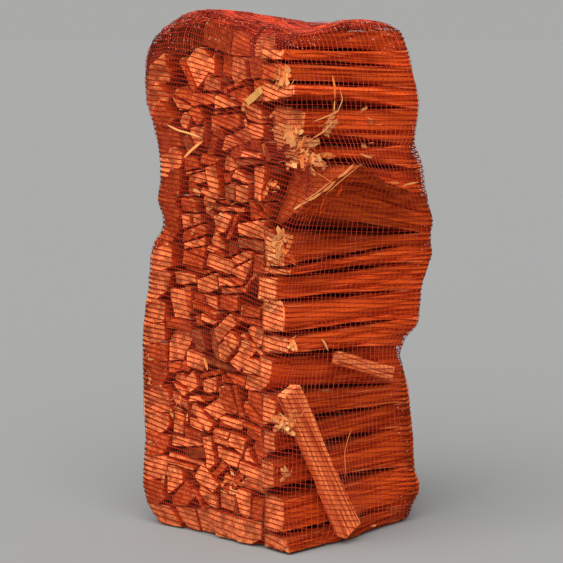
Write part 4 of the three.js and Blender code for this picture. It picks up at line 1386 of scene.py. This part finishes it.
def scatterBits(groups, share, tones, flake):  # flat torn flakes under the net, or fibres on it
    paths = []
    for middle, facing, spread, count, length, lie in groups:
        sideways = np.abs(np.cross(facing, [0, 0, 1]))
        for _ in range(round(count * share)):
            jitter = rng.normal(0, spread / 2, 3) * (1 - np.abs(facing))
            off = rng.uniform(-2.2, -0.6) if flake else rng.uniform(-1.2, 1.0)
            start = toNet(np.array(middle) + jitter, facing, off * mm)
            angle = lie + rng.normal(0, 0.8 if flake else 0.5)
            way = sideways * math.cos(angle) + np.array([0, 0, 1]) * math.sin(angle)
            way = unit(way + facing * rng.uniform(-0.05, 0.1))
            bend = np.cross(way, rng.normal(0, 1, 3)) * (0.0 if flake else rng.uniform(-0.5, 0.5))
            taper = np.array([0.15, 0.8, 1, 0.7, 0.08])
            if flake:
                taper = np.array([rng.uniform(0.5, 0.95), 1, rng.uniform(0.2, 0.9)])
            t = np.linspace(0, 1, len(taper))[:, None]
            width = rng.uniform(0.35, 0.75) * length if flake else rng.uniform(0.35, 0.9)
            run = rng.uniform(0.8, 1.5) * length * mm
            points = start + (way * (t - 0.5) + bend * (t - 0.5) ** 2) * run
            tilt = unit(facing + rng.normal(0, 0.15 if flake else 0.35, 3))
            paths.append({
                "points": points, "outward": np.tile(tilt, (len(taper), 1)), "thick": taper * width,
                "values": woodValues(len(taper), rng.uniform(*tones))})
    return paths


bitWidth = 1.3 * mm
bits = (
    ("loose_splinters", laySplinters() + scatterBits(tufts, 0.55, (0.75, 1.1), False), 0.24, paleWood),
    ("torn_flakes", scatterBits(tufts, 0.4, (0.75, 1.2), True), 0.06, paleWood),
    ("frayed_fibres", scatterBits(frayed, 1.0, (0.8, 1.3), False), 0.3, splitWood),
)
for name, paths, flatness, material in bits:
    makeStrands(name, paths, bitWidth, flatness, 4, material, math.pi / 4, True)
print("splinters laid:", len(splinters), "and", sum(t[3] for t in tufts + frayed), "bits")


# floor and light

stageForm = {
    "size": 400, "floor": (0.294, 0.304, 0.309, 1), "roughness": 0.9, "specular": 0.1,
    "sun": 4.0, "sunAngle": 80, "sunColour": (1.0, 0.97, 0.93), "azimuth": 22, "height": 50,
    "world": (0.402, 0.402, 0.392, 1),
}


def makeStage(form):
    floorMesh = bpy.data.meshes.new("floor")
    size = form["size"]
    corners = [(-size, -size, 0), (size, -size, 0), (size, size, 0), (-size, size, 0)]
    floorMesh.from_pydata(corners, [], [(0, 1, 2, 3)])
    floor = newObject("floor", floorMesh)
    floorPaint, _, shader = newMaterial("floorPaint")
    shader.inputs["Base Color"].default_value = form["floor"]
    shader.inputs["Roughness"].default_value = form["roughness"]
    shader.inputs["Specular IOR Level"].default_value = form["specular"]
    floorMesh.materials.append(floorPaint)
    key = bpy.data.lights.new("keyLight", "SUN")
    key.energy = form["sun"]
    key.angle = math.radians(form["sunAngle"])
    key.color = form["sunColour"]
    lamp = newObject("keyLight", key)
    turn, lift = math.radians(form["azimuth"]), math.radians(form["height"])
    toLight = (math.sin(turn) * math.cos(lift), -math.cos(turn) * math.cos(lift), math.sin(lift))
    lamp.rotation_euler = Vector(toLight).to_track_quat("Z", "Y").to_euler()
    world = bpy.data.worlds.new("studio")
    world.use_nodes = True
    back = world.node_tree.nodes["Background"]
    back.inputs["Color"].default_value = form["world"]
    back.inputs["Strength"].default_value = 1.0
    bpy.context.scene.world = world
    bpy.context.scene.view_settings.view_transform = "Standard"


makeStage(stageForm)
